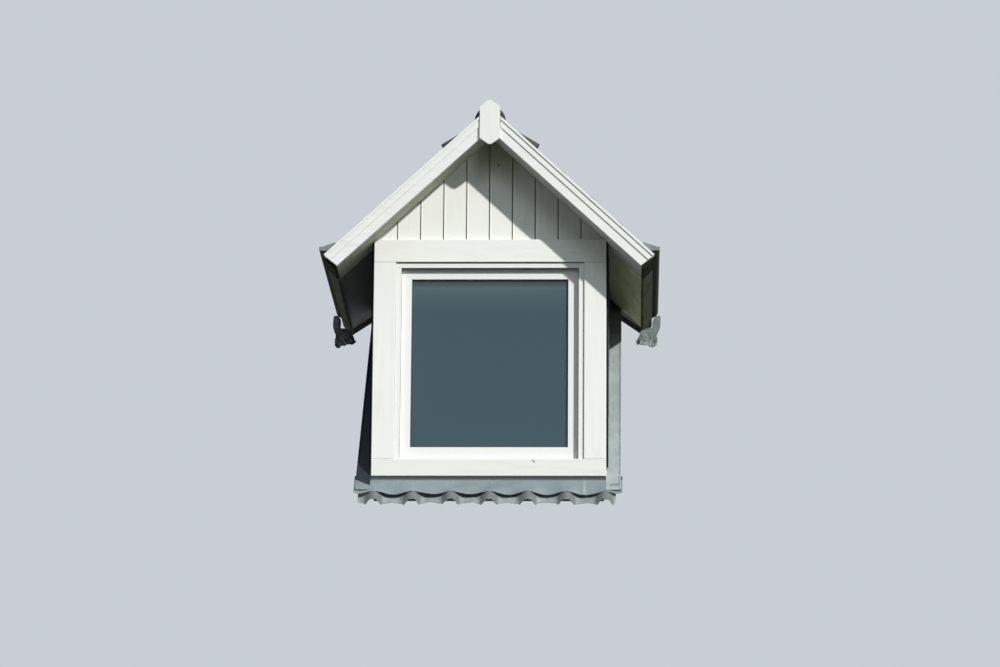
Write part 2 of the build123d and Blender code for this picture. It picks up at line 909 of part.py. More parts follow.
with BuildPart() as cheek_cladding:
    with BuildSketch(facade(casing_back_y)):
        with BuildLine():
            Polyline(
                (wall_half_width + sheet, 0),
                (cladding_flat, 0),
                (cladding_flat, apex_z),
                (wall_half_width + sheet, apex_z),
                close=True,
            )
        make_face()
    extrude(amount=casing_back_y - far_y)
    with BuildSketch(Plane.XY):
        for number in range(seam_count):
            middle_y = casing_back_y + seam_rib_width / 2 + number * seam_spacing
            with Locations((cladding_face - seam_rib_height / 2, middle_y)):
                Rectangle(seam_rib_height, seam_rib_width)
    extrude(amount=apex_z)
    split(bisect_by=roof_plane(0), keep=Keep.BOTTOM)
    split(bisect_by=main_plane(apron_top + cladding_lift), keep=Keep.TOP)
save_pair(cheek_cladding, "cheek_cladding")


def slope_point(run, level):
    """Y and Z of a point by its run and level on the main slope."""
    return run * main_cos - level * main_sin, run * main_sin + level * main_cos


# Apron under the casing: a flat sheet on the rolls with a lip dressed down into each pan
apron_foot_run = casing_foot_run - apron_run
main_roll_count = int((2 * lead_half_width - tile_roll_width) / tile_pitch) + 1
lip_pitch = radians(main_pitch + apron_lip_turn)

with BuildSketch() as lip_shape:
    with BuildLine():
        ThreePointArc((-apron_lip_width / 2, 0), (0, -apron_lip), (apron_lip_width / 2, 0))
        Polyline(
            (apron_lip_width / 2, 0),
            (apron_lip_width / 2, sheet),
            (-apron_lip_width / 2, sheet),
            (-apron_lip_width / 2, 0),
        )
    make_face()

with BuildPart() as apron:
    with BuildSketch(Plane.YZ):
        with BuildLine():
            Polyline(
                slope_point(apron_foot_run, tile_level),
                slope_point(apron_foot_run, apron_top),
                (depth_at(casing_foot, apron_top), casing_foot),
                (depth_at(casing_foot - sheet, tile_level), casing_foot - sheet),
                close=True,
            )
        make_face()
    extrude(amount=apron_half_width, both=True)
    with BuildSketch(Plane.YZ):
        with BuildLine():
            Polyline(
                (depth_at(casing_foot, apron_top), casing_foot),
                (casing_back_y, casing_foot),
                (casing_back_y, casing_foot - sheet),
                (depth_at(casing_foot - sheet, tile_level), casing_foot - sheet),
                close=True,
            )
        make_face()
    extrude(amount=wall_half_width, both=True)
    lip_y, lip_z = slope_point(apron_foot_run, apron_top)
    lip_plane = Plane(
        origin=(main_roll_offset, lip_y, lip_z),
        x_dir=(1, 0, 0),
        z_dir=(0, -sin(lip_pitch), cos(lip_pitch)),
    )
    with BuildSketch(lip_plane):
        with GridLocations(tile_pitch, 0, main_roll_count - 1, 1):
            add(lip_shape.sketch)
    extrude(amount=-sheet)
save(apron, "apron")

# Lead under the apron, dressed over the rolls and cut back in each pan
lead_foot_run = casing_foot_run - lead_run
lead_top = casing_foot_run - lead_top_run
main_rolls = [
    main_roll_offset + (number - (main_roll_count - 1) / 2) * tile_pitch
    for number in range(main_roll_count)
]

with BuildPart() as apron_lead:
    with BuildSketch(run_section(lead_foot_run)):
        with Locations((0, tile_level - main_wave - lead_thickness)):
            add(wave(-lead_half_width, lead_half_width, main_rolls, main_wave, lead_thickness))
    extrude(amount=lead_foot_run - lead_top)
    with BuildSketch(main_plane(0)):
        with Locations((main_roll_offset, lead_foot_run)):
            with GridLocations(tile_pitch, 0, main_roll_count + 1, 1):
                Ellipse(lead_scallop_width / 2, lead_scallop)
    extrude(amount=2 * tile_level, mode=Mode.SUBTRACT)
save(apron_lead, "apron_lead")

# Lead at the rear end of each gutter, lying on the main roof's tiles
gutter_end_run = run_at(depth_at(gutter_z, apron_top), gutter_z)

fascia_foot = valley_point(eave_fall + fascia_thickness, -fascia_drip, apron_top)
fascia_foot_run = run_at(fascia_foot[1], fascia_foot[2]) - gutter_lead_gap
fascia_outer_x = (eave_fall + fascia_thickness) * roof_cos + fascia_rise * roof_sin
lead_inner_x = gutter_x - gutter_lead_inside
lead_outer_x = gutter_x + gutter_lead_outside

with BuildPart() as gutter_leads:
    with BuildSketch(main_plane(apron_top)):
        with BuildLine():
            Polyline(
                (lead_inner_x, gutter_end_run - gutter_lead_foot),
                (lead_outer_x, gutter_end_run - gutter_lead_foot),
                (lead_outer_x, gutter_end_run - gutter_lead_head),
                (fascia_outer_x + seat_gap, gutter_end_run - gutter_lead_head),
                (fascia_outer_x + seat_gap, fascia_foot_run),
                (lead_inner_x, fascia_foot_run),
                close=True,
            )
        make_face()
    extrude(amount=-lead_thickness)
    mirror(about=Plane.YZ)
save(gutter_leads, "gutter_leads")
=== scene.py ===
"""Looks of the gabled dormer window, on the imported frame. Metres, the frame of the CAD part."""
import math
import random

import bmesh
import bpy
from mathutils import Matrix, Vector, noise


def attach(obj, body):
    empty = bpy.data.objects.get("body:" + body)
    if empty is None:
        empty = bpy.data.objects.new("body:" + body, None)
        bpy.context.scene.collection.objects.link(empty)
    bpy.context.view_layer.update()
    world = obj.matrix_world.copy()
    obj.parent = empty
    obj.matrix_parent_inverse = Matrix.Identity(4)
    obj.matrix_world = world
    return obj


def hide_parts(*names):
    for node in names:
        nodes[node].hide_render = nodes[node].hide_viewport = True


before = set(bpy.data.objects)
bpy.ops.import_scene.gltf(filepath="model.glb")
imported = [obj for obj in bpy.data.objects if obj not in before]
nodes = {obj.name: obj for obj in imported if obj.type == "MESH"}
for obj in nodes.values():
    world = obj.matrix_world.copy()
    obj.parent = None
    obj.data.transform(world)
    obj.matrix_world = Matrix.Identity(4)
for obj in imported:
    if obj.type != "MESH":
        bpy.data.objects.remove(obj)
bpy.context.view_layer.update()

# Sizes repeated from the part's source, in metres and radians. The crests are those of the waves
# that the lead below the window is dressed to.
SEAT_SIN = math.sin(math.radians(45.0))
ROOF = math.radians(43.0)
APEX_Z = 1.61391
WALL_HALF = 0.505
CASING_FOOT_Z = 0.066163
CASING_FOOT_RUN = -0.01643
CASING_BACK_Y = -0.064
CREST_LEVEL = 0.110
CREST_OFFSET = 0.007
WAVE_DEPTH = 0.033
TILE_PITCH = 0.168
SHEET = 0.002


# Places
def on_seat(x, run, level):
    """Point by the sloping seat: distance up the slope and height square to it."""
    return Vector((x, (run - level) * SEAT_SIN, (run + level) * SEAT_SIN))


def on_roof(fall, rise, y, side):
    """Point by the dormer's slope: distance down from the apex line and height square to it."""
    return Vector((
        side * (fall * math.cos(ROOF) + rise * math.sin(ROOF)),
        y,
        APEX_Z - fall * math.sin(ROOF) + rise * math.cos(ROOF),
    ))


def smooth(value):
    """Eased step from 0 to 1."""
    value = min(max(value, 0.0), 1.0)
    return value * value * (3 - 2 * value)


def evenly(first, last, count):
    """Places from first to last, a number of equal steps apart."""
    return [first + (last - first) * step / count for step in range(count + 1)]


def hump(share):
    """Round hump: 1 in its middle, at 0, and 0 at its foot, at 1."""
    return 0.5 + 0.5 * math.cos(math.pi * share)


def from_crest(x):
    """Signed distance to the nearest crest of the lead's waves."""
    return (x - CREST_OFFSET + TILE_PITCH / 2) % TILE_PITCH - TILE_PITCH / 2


def from_dip(x):
    """Signed distance to the nearest dip of the lead's waves."""
    return (x - CREST_OFFSET) % TILE_PITCH - TILE_PITCH / 2


# Mesh helpers
def finish_piece(name, mesh_builder, material, replaced=(), smooth_angle=40):
    """Turns a bmesh into a piece of the part that rides on its one body."""
    bmesh.ops.recalc_face_normals(mesh_builder, faces=mesh_builder.faces)
    mesh = bpy.data.meshes.new(name)
    mesh_builder.to_mesh(mesh)
    mesh_builder.free()
    piece = bpy.data.objects.new(name, mesh)
    bpy.context.scene.collection.objects.link(piece)
    piece.data.materials.append(material)
    if smooth_angle:
        mesh.shade_smooth()
        mesh.set_sharp_from_angle(angle=math.radians(smooth_angle))
    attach(piece, "root")
    if replaced:
        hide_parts(*replaced)


def bend_grid(mesh_builder, rows, turned=False):
    """Adds a grid with its points at rows of places, and returns its points and faces."""
    count = len(rows[0])
    made = bmesh.ops.create_grid(
        mesh_builder, x_segments=count - 1, y_segments=len(rows) - 1, size=1.0,
    )
    verts = made["verts"]
    for number, vert in enumerate(verts):
        vert.co = rows[number // count][number % count]
    faces = list(dict.fromkeys(face for vert in verts for face in vert.link_faces))
    if turned:
        bmesh.ops.reverse_faces(mesh_builder, faces=faces)
    for face in faces:
        face.normal_update()
    for vert in verts:
        vert.normal_update()
    return verts, faces


def add_sheet(mesh_builder, rows, thickness):
    """Adds a closed sheet whose top runs through rows of points."""
    faces = bend_grid(mesh_builder, rows)[1]
    bmesh.ops.solidify(mesh_builder, geom=faces, thickness=thickness)


def add_wire(mesh_builder, points, radius, segments):
    """Adds a round wire: a circle extruded from point to point and closed at both ends."""
    ahead = (points[1] - points[0]).to_track_quat("Z", "Y").to_matrix().to_4x4()
    place = Matrix.Translation(points[0]) @ ahead
    made = bmesh.ops.create_circle(mesh_builder, segments=segments, radius=radius, matrix=place)
    edges = list(dict.fromkeys(edge for vert in made["verts"] for edge in vert.link_edges))
    ends = list(edges)
    for first, second in zip(points, points[1:]):
        grown = bmesh.ops.extrude_edge_only(mesh_builder, edges=edges)["geom"]
        verts = [item for item in grown if isinstance(item, bmesh.types.BMVert)]
        edges = [item for item in grown if isinstance(item, bmesh.types.BMEdge) and item.is_boundary]
        bmesh.ops.translate(mesh_builder, verts=verts, vec=second - first)
    bmesh.ops.holes_fill(mesh_builder, edges=ends + edges, sides=0)


def add_bar(mesh_builder, low, high):
    """Adds a straight bar between two corners."""
    size = Matrix.Diagonal((*(high - low), 1.0))
    place = Matrix.Translation((low + high) / 2)
    bmesh.ops.create_cube(mesh_builder, size=1.0, matrix=place @ size)


def cut_away(mesh_builder, point, direction):
    """Cuts off what lies beyond a plane and closes the cut."""
    whole = mesh_builder.verts[:] + mesh_builder.edges[:] + mesh_builder.faces[:]
    bmesh.ops.bisect_plane(
        mesh_builder, geom=whole, plane_co=point, plane_no=direction, clear_outer=True, dist=1e-6,
    )
    open_edges = [edge for edge in mesh_builder.edges if edge.is_boundary]
    bmesh.ops.holes_fill(mesh_builder, edges=open_edges, sides=0)


def cut_below(mesh_builder, level):
    """Cuts off what lies lower than a height square to the seat."""
    cut_away(mesh_builder, on_seat(0, 0, level), Vector((0, 1, -1)))


# Materials
UPRIGHT_GRAIN = (14, 14, 1.6)
LEVEL_GRAIN = (1.6, 14, 14)
LEVEL_WOOD = (22, 1.2, 22)
UPRIGHT_WOOD = (22, 22, 1.2)
# Colour of the painted shade lines in joints and gaps
JOINT_SHADE_COLOUR = (0.06, 0.065, 0.05)
# Colour of the painted shade under the right-hand soffit
SOFFIT_SHADE_COLOUR = (0.25, 0.27, 0.205)
MARK = (0.12, 0.11, 0.08)
# Colour of the painted shade towards the gable's apex
APEX_SHADE_COLOUR = (0.15, 0.16, 0.06)
# Colour of the painted highlight beside each gable joint
LIT_EDGE_COLOUR = (0.93, 0.94, 0.90)
OPEN_JOINT = (0.22, 0.215, 0.19)
# Side and depth of the painted shade under the right-hand soffit
SOFFIT_SHADE_SIDE = (-0.11, -0.02)
SOFFIT_SHADE_DEPTH = (0.05, 0.165)
GABLE_BOARD = 0.102
GABLE_BOARD_OFFSET = 0.0055
# Heights over which the painted shade towards the apex grows
GABLE_APEX_SHADE_Z = (1.39, 1.56)
JOINT_HALF = (0.0022, 0.0038)
# Where the painted highlight lies, across from each joint
LIT_EDGE_FROM = (0.0030, 0.0045)
LIT_EDGE_TO = (0.0085, 0.0110)
KNOT_X, KNOT_Z = 0.0333, 1.489
SOFFIT_SEAM = (0.006, 0.014)
SOFFIT_CORNER_SHADE_X = (0.56, 0.67)
FASCIA_SHADED_END_Y = (-0.075, -0.055)
GUTTER_END_Y = (-0.2328, -0.2324)
GUTTER_FLANK_X = (0.7375, 0.7435)
GUTTER_PLATE_SHADE_Z = (1.049, 1.055)
# Heights of the glass's painted reflection, painted highlight and painted shadow
GLASS_REFLECTION_Z = (0.80, 0.925)
GLASS_HIGHLIGHT_FROM = (0.917, 0.925)
GLASS_HIGHLIGHT_TO = (0.928, 0.934)
GLASS_TOP_SHADOW_Z = (0.930, 0.948)


def darker(colour, share):
    """Colour at a share of its strength."""
    return tuple(part * share for part in colour)


class Shade:
    """A material with short ways to add its nodes."""

    def __init__(self, name):
        self.material = bpy.data.materials.new(name)
        self.material.use_nodes = True
        self.tree = self.material.node_tree
        self.surface = self.tree.nodes["Principled BSDF"]
        self.place = self.tree.nodes.new("ShaderNodeTexCoord").outputs["Object"]

    def link(self, source, target):
        self.tree.links.new(source, target)

    def scaled(self, scale, turn=(0, 0, 0)):
        """Places on the piece, squeezed along each axis and turned."""
        mapping = self.tree.nodes.new("ShaderNodeMapping")
        mapping.inputs["Scale"].default_value = scale
        mapping.inputs["Rotation"].default_value = turn
        self.link(self.place, mapping.inputs["Vector"])
        return mapping.outputs["Vector"]

    def noise(self, scale, detail=4.0, rough=0.55, place=None, warp=0.0):
        texture = self.tree.nodes.new("ShaderNodeTexNoise")
        texture.inputs["Scale"].default_value = scale
        texture.inputs["Detail"].default_value = detail
        texture.inputs["Roughness"].default_value = rough
        texture.inputs["Distortion"].default_value = warp
        self.link(place or self.place, texture.inputs["Vector"])
        return texture.outputs["Fac"]

    def cells(self, scale):
        texture = self.tree.nodes.new("ShaderNodeTexVoronoi")
        texture.inputs["Scale"].default_value = scale
        self.link(self.place, texture.inputs["Vector"])
        return texture.outputs["Distance"]

    def axis(self, name):
        parts = self.tree.nodes.new("ShaderNodeSeparateXYZ")
        self.link(self.place, parts.inputs[0])
        return parts.outputs[name]

    def ramp(self, value, low, high, first=0.0, last=1.0):
        """Value spread from first to last between low and high."""
        spread = self.tree.nodes.new("ShaderNodeMapRange")
        spread.interpolation_type = "SMOOTHSTEP"
        spread.inputs["From Min"].default_value = low
        spread.inputs["From Max"].default_value = high
        spread.inputs["To Min"].default_value = first
        spread.inputs["To Max"].default_value = last
        self.link(value, spread.inputs["Value"])
        return spread.outputs["Result"]

    def calc(self, kind, first, second=0.0):
        step = self.tree.nodes.new("ShaderNodeMath")
        step.operation = kind
        for value, target in ((first, step.inputs[0]), (second, step.inputs[1])):
            if isinstance(value, (int, float)):
                target.default_value = value
            else:
                self.link(value, target)
        return step.outputs[0]

    def times(self, first, second):
        return self.calc("MULTIPLY", first, second)

    def plus(self, first, second):
        return self.calc("ADD", first, second)

    def minus(self, first, second):
        return self.calc("SUBTRACT", first, second)

    def unsigned(self, value):
        return self.calc("ABSOLUTE", value)

    def mix(self, share, first, second):
        """Colour from first to second by a share."""
        blend = self.tree.nodes.new("ShaderNodeMix")
        blend.data_type = "RGBA"
        targets = [entry for entry in blend.inputs if entry.type == "RGBA"]
        for value, target in ((first, targets[0]), (second, targets[1])):
            if isinstance(value, tuple):
                target.default_value = (*value, 1.0)
            else:
                self.link(value, target)
        self.link(share, blend.inputs["Factor"])
        return [result for result in blend.outputs if result.type == "RGBA"][0]

    def colour(self, value):
        self.link(value, self.surface.inputs["Base Color"])

    def rough(self, value):
        if isinstance(value, float):
            self.surface.inputs["Roughness"].default_value = value
        else:
            self.link(value, self.surface.inputs["Roughness"])

    def bump(self, height, distance, strength=1.0, below=None):
        """Relief of a height, on top of the relief below it."""
        bump = self.tree.nodes.new("ShaderNodeBump")
        bump.inputs["Strength"].default_value = strength
        bump.inputs["Distance"].default_value = distance
        self.link(height, bump.inputs["Height"])
        if below:
            self.link(below, bump.inputs["Normal"])
        self.link(bump.outputs["Normal"], self.surface.inputs["Normal"])
        return bump.outputs["Normal"]

    def set(self, **values):
        for name, value in values.items():
            self.surface.inputs[name.replace("_", " ")].default_value = value


def rain_streaks(shade, place):
    return shade.noise(3.0, 5, 0.6, place, 0.2)


def board_streaks(shade):
    return shade.noise(4.0, 5, 0.6, shade.scaled((9, 1.5, 9)))


def soiling(shade, place, patches):
    """Share of dirt: rain streaks, where the patches are."""
    streaks = shade.ramp(rain_streaks(shade, place), 0.42, 0.75)
    return shade.times(streaks, shade.ramp(patches, 0.35, 0.7))


def brush_marks(shade, place):
    """Relief of brushed paint along the grain."""
    shade.bump(shade.noise(9.0, 6, 0.62, place, 0.1), 0.0006, 0.5)


def add_joint_shade(shade, tone, axis, place, reach, share):
    """Painted shade: thin dark line in a joint that lies square to an axis."""
    away = shade.unsigned(shade.minus(shade.axis(axis), place))
    return shade.mix(shade.ramp(away, reach, reach * 1.6, share, 0.0), tone, JOINT_SHADE_COLOUR)


def add_painted_soffit_shade(shade, tone, share):
    """Painted shade: darkens paint close under the right-hand soffit, where the shade falls."""
    up = shade.minus(shade.axis("Z"), APEX_Z)
    flank = shade.times(shade.unsigned(shade.axis("X")), math.tan(ROOF))
    depth = shade.times(shade.plus(up, flank), -math.cos(ROOF))
    side = shade.ramp(shade.axis("X"), *SOFFIT_SHADE_SIDE)
    soffit_shade_share = shade.times(shade.ramp(depth, *SOFFIT_SHADE_DEPTH, share, 0.0), side)
    streaks = rain_streaks(shade, shade.scaled(UPRIGHT_GRAIN))
    soffit_shade_share = shade.times(soffit_shade_share, shade.ramp(streaks, 0.2, 0.6, 0.85, 1.0))
    return shade.mix(soffit_shade_share, tone, SOFFIT_SHADE_COLOUR)


def add_mark(shade, tone, x, z, reach):
    """Small dark round mark, such as a knot or a chip."""
    away_x = shade.minus(shade.axis("X"), x)
    away_z = shade.minus(shade.axis("Z"), z)
    away = shade.plus(shade.times(away_x, away_x), shade.times(away_z, away_z))
    share = shade.ramp(away, (reach * 0.6) ** 2, (reach * 1.3) ** 2, 0.75, 0.0)
    return shade.mix(share, tone, MARK)


def painted(
    name, clean, dirty, dirt=0.35, grain=UPRIGHT_GRAIN, turn=0.0, joint_shade_lines=(), soffit_shade_share=0.0, marks=(),
):
    """Brushed paint on planed wood, with faint grain and rain streaks, and where asked painted shade
    lines in its joints and painted shade under the right-hand soffit.
    """
    shade = Shade(name)
    place = shade.scaled(grain, (0, turn, 0))
    patches = shade.noise(2.3, 3, 0.5)
    specks = shade.ramp(shade.noise(90, 2, 0.5), 0.68, 0.8)
    soiled = shade.calc("MAXIMUM", soiling(shade, place, patches), shade.times(specks, 0.35))
    tone = shade.mix(shade.times(soiled, dirt), clean, dirty)
    for line in joint_shade_lines:
        tone = add_joint_shade(shade, tone, **line)
    if soffit_shade_share:
        tone = add_painted_soffit_shade(shade, tone, soffit_shade_share)
    for mark in marks:
        tone = add_mark(shade, tone, **mark)
    shade.colour(tone)
    shade.rough(shade.ramp(patches, 0.2, 0.8, 0.36, 0.54))
    brush_marks(shade, place)
    return shade.material


def gable_paint(name, clean, dirty):
    """Painted tongued boards: dark open joints, each with a painted highlight on its right, and
    painted shade under the soffit and towards the apex.
    """
    shade = Shade(name)
    place = shade.scaled(UPRIGHT_GRAIN)
    patches = shade.noise(2.3, 3, 0.5)
    tone = shade.mix(shade.times(soiling(shade, place, patches), 0.45), clean, dirty)
    # A hundred boards are added, so that the distance is positive
    start = GABLE_BOARD_OFFSET + 100.5 * GABLE_BOARD
    within = shade.calc("MODULO", shade.plus(shade.axis("X"), start), GABLE_BOARD)
    across = shade.minus(within, GABLE_BOARD / 2)
    # Painted highlight on the edge to the right of each joint
    edge = shade.times(
        shade.ramp(across, *LIT_EDGE_FROM),
        shade.ramp(across, *LIT_EDGE_TO, 1.0, 0.0),
    )
    tone = shade.mix(edge, tone, LIT_EDGE_COLOUR)
    tone = shade.mix(shade.ramp(shade.unsigned(across), *JOINT_HALF, 0.75, 0.0), tone, OPEN_JOINT)
    tone = add_painted_soffit_shade(shade, tone, 0.60)
    # Painted shade towards the apex, on its right-hand side
    apex = shade.ramp(shade.axis("Z"), *GABLE_APEX_SHADE_Z, 0.0, 0.70)
    tone = shade.mix(shade.times(apex, shade.ramp(shade.axis("X"), *SOFFIT_SHADE_SIDE)), tone, APEX_SHADE_COLOUR)
    tone = add_mark(shade, tone, x=KNOT_X, z=KNOT_Z, reach=0.0065)
    shade.colour(tone)
    shade.rough(shade.ramp(patches, 0.2, 0.8, 0.38, 0.55))
    brush_marks(shade, place)
    return shade.material


def soffit_paint(name, verge, eave):
    """Soffit boards: the verge's in front of the seam, the eave's behind it, with mould, and painted
    shade towards the inner corner behind the seam.
    """
    shade = Shade(name)
    behind = shade.ramp(shade.axis("Y"), *SOFFIT_SEAM)
    streaks = board_streaks(shade)
    blotches = shade.noise(5.0, 3, 0.55)
    tone = shade.mix(behind, verge, eave)
    soiled = shade.mix(behind, darker(verge, 0.7), darker(eave, 0.6))
    tone = shade.mix(shade.times(shade.ramp(streaks, 0.45, 0.7), 0.6), tone, soiled)
    tone = shade.mix(shade.times(shade.ramp(blotches, 0.5, 0.7), 0.4), tone, soiled)
    # Painted shade in the inner corner, against the cheek
    inner = shade.ramp(shade.unsigned(shade.axis("X")), *SOFFIT_CORNER_SHADE_X, 0.62, 0.0)
    tone = shade.mix(shade.times(inner, behind), tone, darker(eave, 0.45))
    shade.colour(tone)
    shade.rough(0.7)
    shade.bump(streaks, 0.0006, 0.5)
    return shade.material


def fascia_paint(name, fascia_base, shade_tone):
    """Dark fascia, with painted shade at its front end under the barge; its streaks darken towards
    the same colour.
    """
    shade = Shade(name)
    streaks = board_streaks(shade)
    # Painted shade at the fascia's front end, under the barge
    tone = shade.mix(shade.ramp(shade.axis("Y"), *FASCIA_SHADED_END_Y), shade_tone, fascia_base)
    tone = shade.mix(shade.times(shade.ramp(streaks, 0.45, 0.7), 0.5), tone, shade_tone)
    shade.colour(tone)
    shade.rough(0.9)
    shade.set(Specular_IOR_Level=0.03)
    shade.bump(streaks, 0.0006, 0.5)
    return shade.material


def gutter_zinc(name, clean, grimy, shade_tone):
    """Half-round gutter: grimy on its outer flank, with painted shade on its underside and on its end
    plate below a line, above which the plate is bare zinc.
    """
    shade = Shade(name)
    blotches = shade.noise(9, 4, 0.6, shade.scaled((6, 1, 6)))
    out = shade.unsigned(shade.axis("X"))
    front = shade.ramp(shade.axis("Y"), *GUTTER_END_Y, 1.0, 0.0)
    flank = shade.times(shade.ramp(out, *GUTTER_FLANK_X), shade.minus(1.0, front))
    above = shade.ramp(shade.axis("Z"), *GUTTER_PLATE_SHADE_Z)
    plate = shade.mix(shade.ramp(blotches, 0.35, 0.65), clean, darker(clean, 0.78))
    # Painted shade on the underside, and on the end plate below a height
    tone = shade.mix(flank, shade_tone, grimy)
    tone = shade.mix(shade.times(front, above), tone, plate)
    shade.colour(tone)
    shade.rough(0.8)
    shade.set(Specular_IOR_Level=0.04)
    shade.bump(blotches, 0.0006, 0.4)
    return shade.material


def bare_wood(name, light, dark, grain):
    """Planed softwood with long grain, darker where it is old."""
    shade = Shade(name)
    place = shade.scaled(grain)
    rings = shade.noise(2.2, 4, 0.55, place, 1.4)
    fibre = shade.noise(16, 5, 0.7, place)
    shade.colour(shade.mix(shade.ramp(rings, 0.35, 0.66), light, dark))
    shade.rough(shade.ramp(fibre, 0.2, 0.8, 0.6, 0.85))
    shade.bump(fibre, 0.0008, 0.5)
    return shade.material


def add_seam(shade, tone, fine, chalk, left, right):
    """Chalky upright seam between two places across."""
    x = shade.axis("X")
    inside = shade.times(
        shade.ramp(x, left - 0.004, left + 0.004),
        shade.ramp(x, right - 0.004, right + 0.004, 1.0, 0.0),
    )
    return shade.mix(shade.times(inside, shade.ramp(fine, 0.2, 0.7, 0.2, 0.6)), tone, chalk)


def add_shadow(shade, tone, axis, low, high, first, last, dark, lean=0.0):
    """Painted shadow between two places along an axis, on a line that leans outwards."""
    aside = shade.times(shade.unsigned(shade.axis("X")), lean)
    slant = shade.minus(shade.axis(axis), aside)
    return shade.mix(shade.ramp(slant, low, high, first, last), tone, dark)


def add_crest_shade(shade, tone, dark):
    """Painted shade: darkens the crests of the lead's waves, where the apron's hem shades them."""
    turned = shade.times(shade.minus(shade.axis("X"), CREST_OFFSET), 2 * math.pi / TILE_PITCH)
    over = shade.ramp(shade.calc("COSINE", turned), -0.2, 0.4, 0.0, 0.85)
    return shade.mix(over, tone, dark)


def sheet_metal(
    name, clean, worn, chalk, metal=0.35, rough=0.45, shine=0.5, seam=None, shadow=None, crests=False,
):
    """Weathered zinc or lead: blotchy patina, chalky runs and small scratches, and, where asked,
    painted shadow or painted shade on the crests.
    """
    shade = Shade(name)
    blotches = shade.noise(5.5, 4, 0.6, warp=0.6)
    fine = shade.noise(60, 4, 0.6)
    runs = shade.noise(4.0, 5, 0.65, shade.scaled((16, 5, 2)))
    tone = shade.mix(shade.ramp(blotches, 0.36, 0.66), clean, worn)
    tone = shade.mix(shade.times(shade.ramp(runs, 0.55, 0.78), 0.6), tone, chalk)
    if seam:
        tone = add_seam(shade, tone, fine, chalk, *seam)
    if shadow:
        tone = add_shadow(shade, tone, **shadow)
    if crests:
        tone = add_crest_shade(shade, tone, darker(clean, 0.4))
    shade.colour(tone)
    shade.rough(shade.ramp(fine, 0.25, 0.75, rough - 0.08, rough + 0.15))
    shade.set(Metallic=metal, Specular_IOR_Level=shine)
    lumps = shade.bump(shade.noise(9, 3, 0.5), 0.003, 0.35)
    shade.bump(fine, 0.0004, 0.35, lumps)
    return shade.material


def fired_tile(name, clean, worn, lichen):
    """Matt tile with grit, rain streaks and a little lichen, and a tone of its own on each tile."""
    shade = Shade(name)
    single = shade.tree.nodes.new("ShaderNodeAttribute")
    single.attribute_name = "tile_tone"
    grit = shade.noise(260, 3, 0.6)
    blotches = shade.noise(7, 4, 0.6)
    spots = shade.ramp(shade.cells(38), 0.05, 0.16, 1.0, 0.0)
    spots = shade.times(spots, shade.ramp(shade.noise(6, 2, 0.5), 0.55, 0.68))
    tone = shade.mix(shade.ramp(blotches, 0.35, 0.65), clean, worn)
    tone = shade.mix(shade.times(shade.ramp(grit, 0.5, 0.75), 0.35), tone, worn)
    tone = shade.mix(shade.times(single.outputs["Fac"], 0.45), tone, darker(clean, 0.62))
    tone = shade.mix(shade.times(spots, 0.7), tone, lichen)
    shade.colour(tone)
    shade.rough(shade.ramp(blotches, 0.2, 0.8, 0.62, 0.85))
    shade.bump(grit, 0.0008, 0.6)
    return shade.material


def gasket_rubber(name, colour):
    """Rubber with a faint change of tone."""
    shade = Shade(name)
    shade.colour(shade.mix(shade.noise(30, 3, 0.5), colour, darker(colour, 0.85)))
    shade.rough(0.5)
    shade.bump(shade.noise(160, 2, 0.5), 0.0002, 0.4)
    return shade.material


def window_glass(name):
    """Dark pane with a painted reflection, paler towards its top, with a painted shadow along its top
    edge and a painted highlight under that.
    """
    shade = Shade(name)
    z = shade.axis("Z")
    reflection = shade.ramp(z, *GLASS_REFLECTION_Z)
    top_shadow = shade.ramp(z, *GLASS_TOP_SHADOW_Z)
    highlight = shade.times(
        shade.ramp(z, *GLASS_HIGHLIGHT_FROM), shade.ramp(z, *GLASS_HIGHLIGHT_TO, 1.0, 0.0),
    )
    haze = shade.noise(1.6, 2, 0.5)
    # Painted reflection paler towards the top, painted shadow along the top edge, painted highlight
    # under it
    tone = shade.mix(reflection, (0.045, 0.084, 0.113), (0.070, 0.120, 0.138))
    tone = shade.mix(shade.times(haze, 0.35), tone, (0.060, 0.095, 0.112))
    tone = shade.mix(shade.times(top_shadow, 0.75), tone, (0.040, 0.066, 0.060))
    tone = shade.mix(shade.times(highlight, 0.35), tone, (0.105, 0.165, 0.185))
    shade.colour(tone)
    shade.rough(0.06)
    shade.set(IOR=1.5, Transmission_Weight=0.12)
    return shade.material


# Finishes
white = (0.83, 0.84, 0.815)
old_white = (0.60, 0.60, 0.52)
sash_dirt = (0.70, 0.71, 0.68)
sloped = ((0.79, 0.80, 0.79), (0.62, 0.62, 0.55))
softwood = ((0.60, 0.43, 0.25), (0.42, 0.26, 0.13))
dull_zinc = ((0.265, 0.315, 0.335), (0.225, 0.27, 0.295), (0.37, 0.41, 0.41))
SCRATCH_X, SCRATCH_Z = 0.1942, 0.1352

# Paint of the casing's sides, with painted shade under the right-hand soffit
paint_upright = painted("white_paint_upright", white, old_white, soffit_shade_share=0.55)
paint_finial = painted("white_paint_finial", (0.77, 0.79, 0.76), old_white)
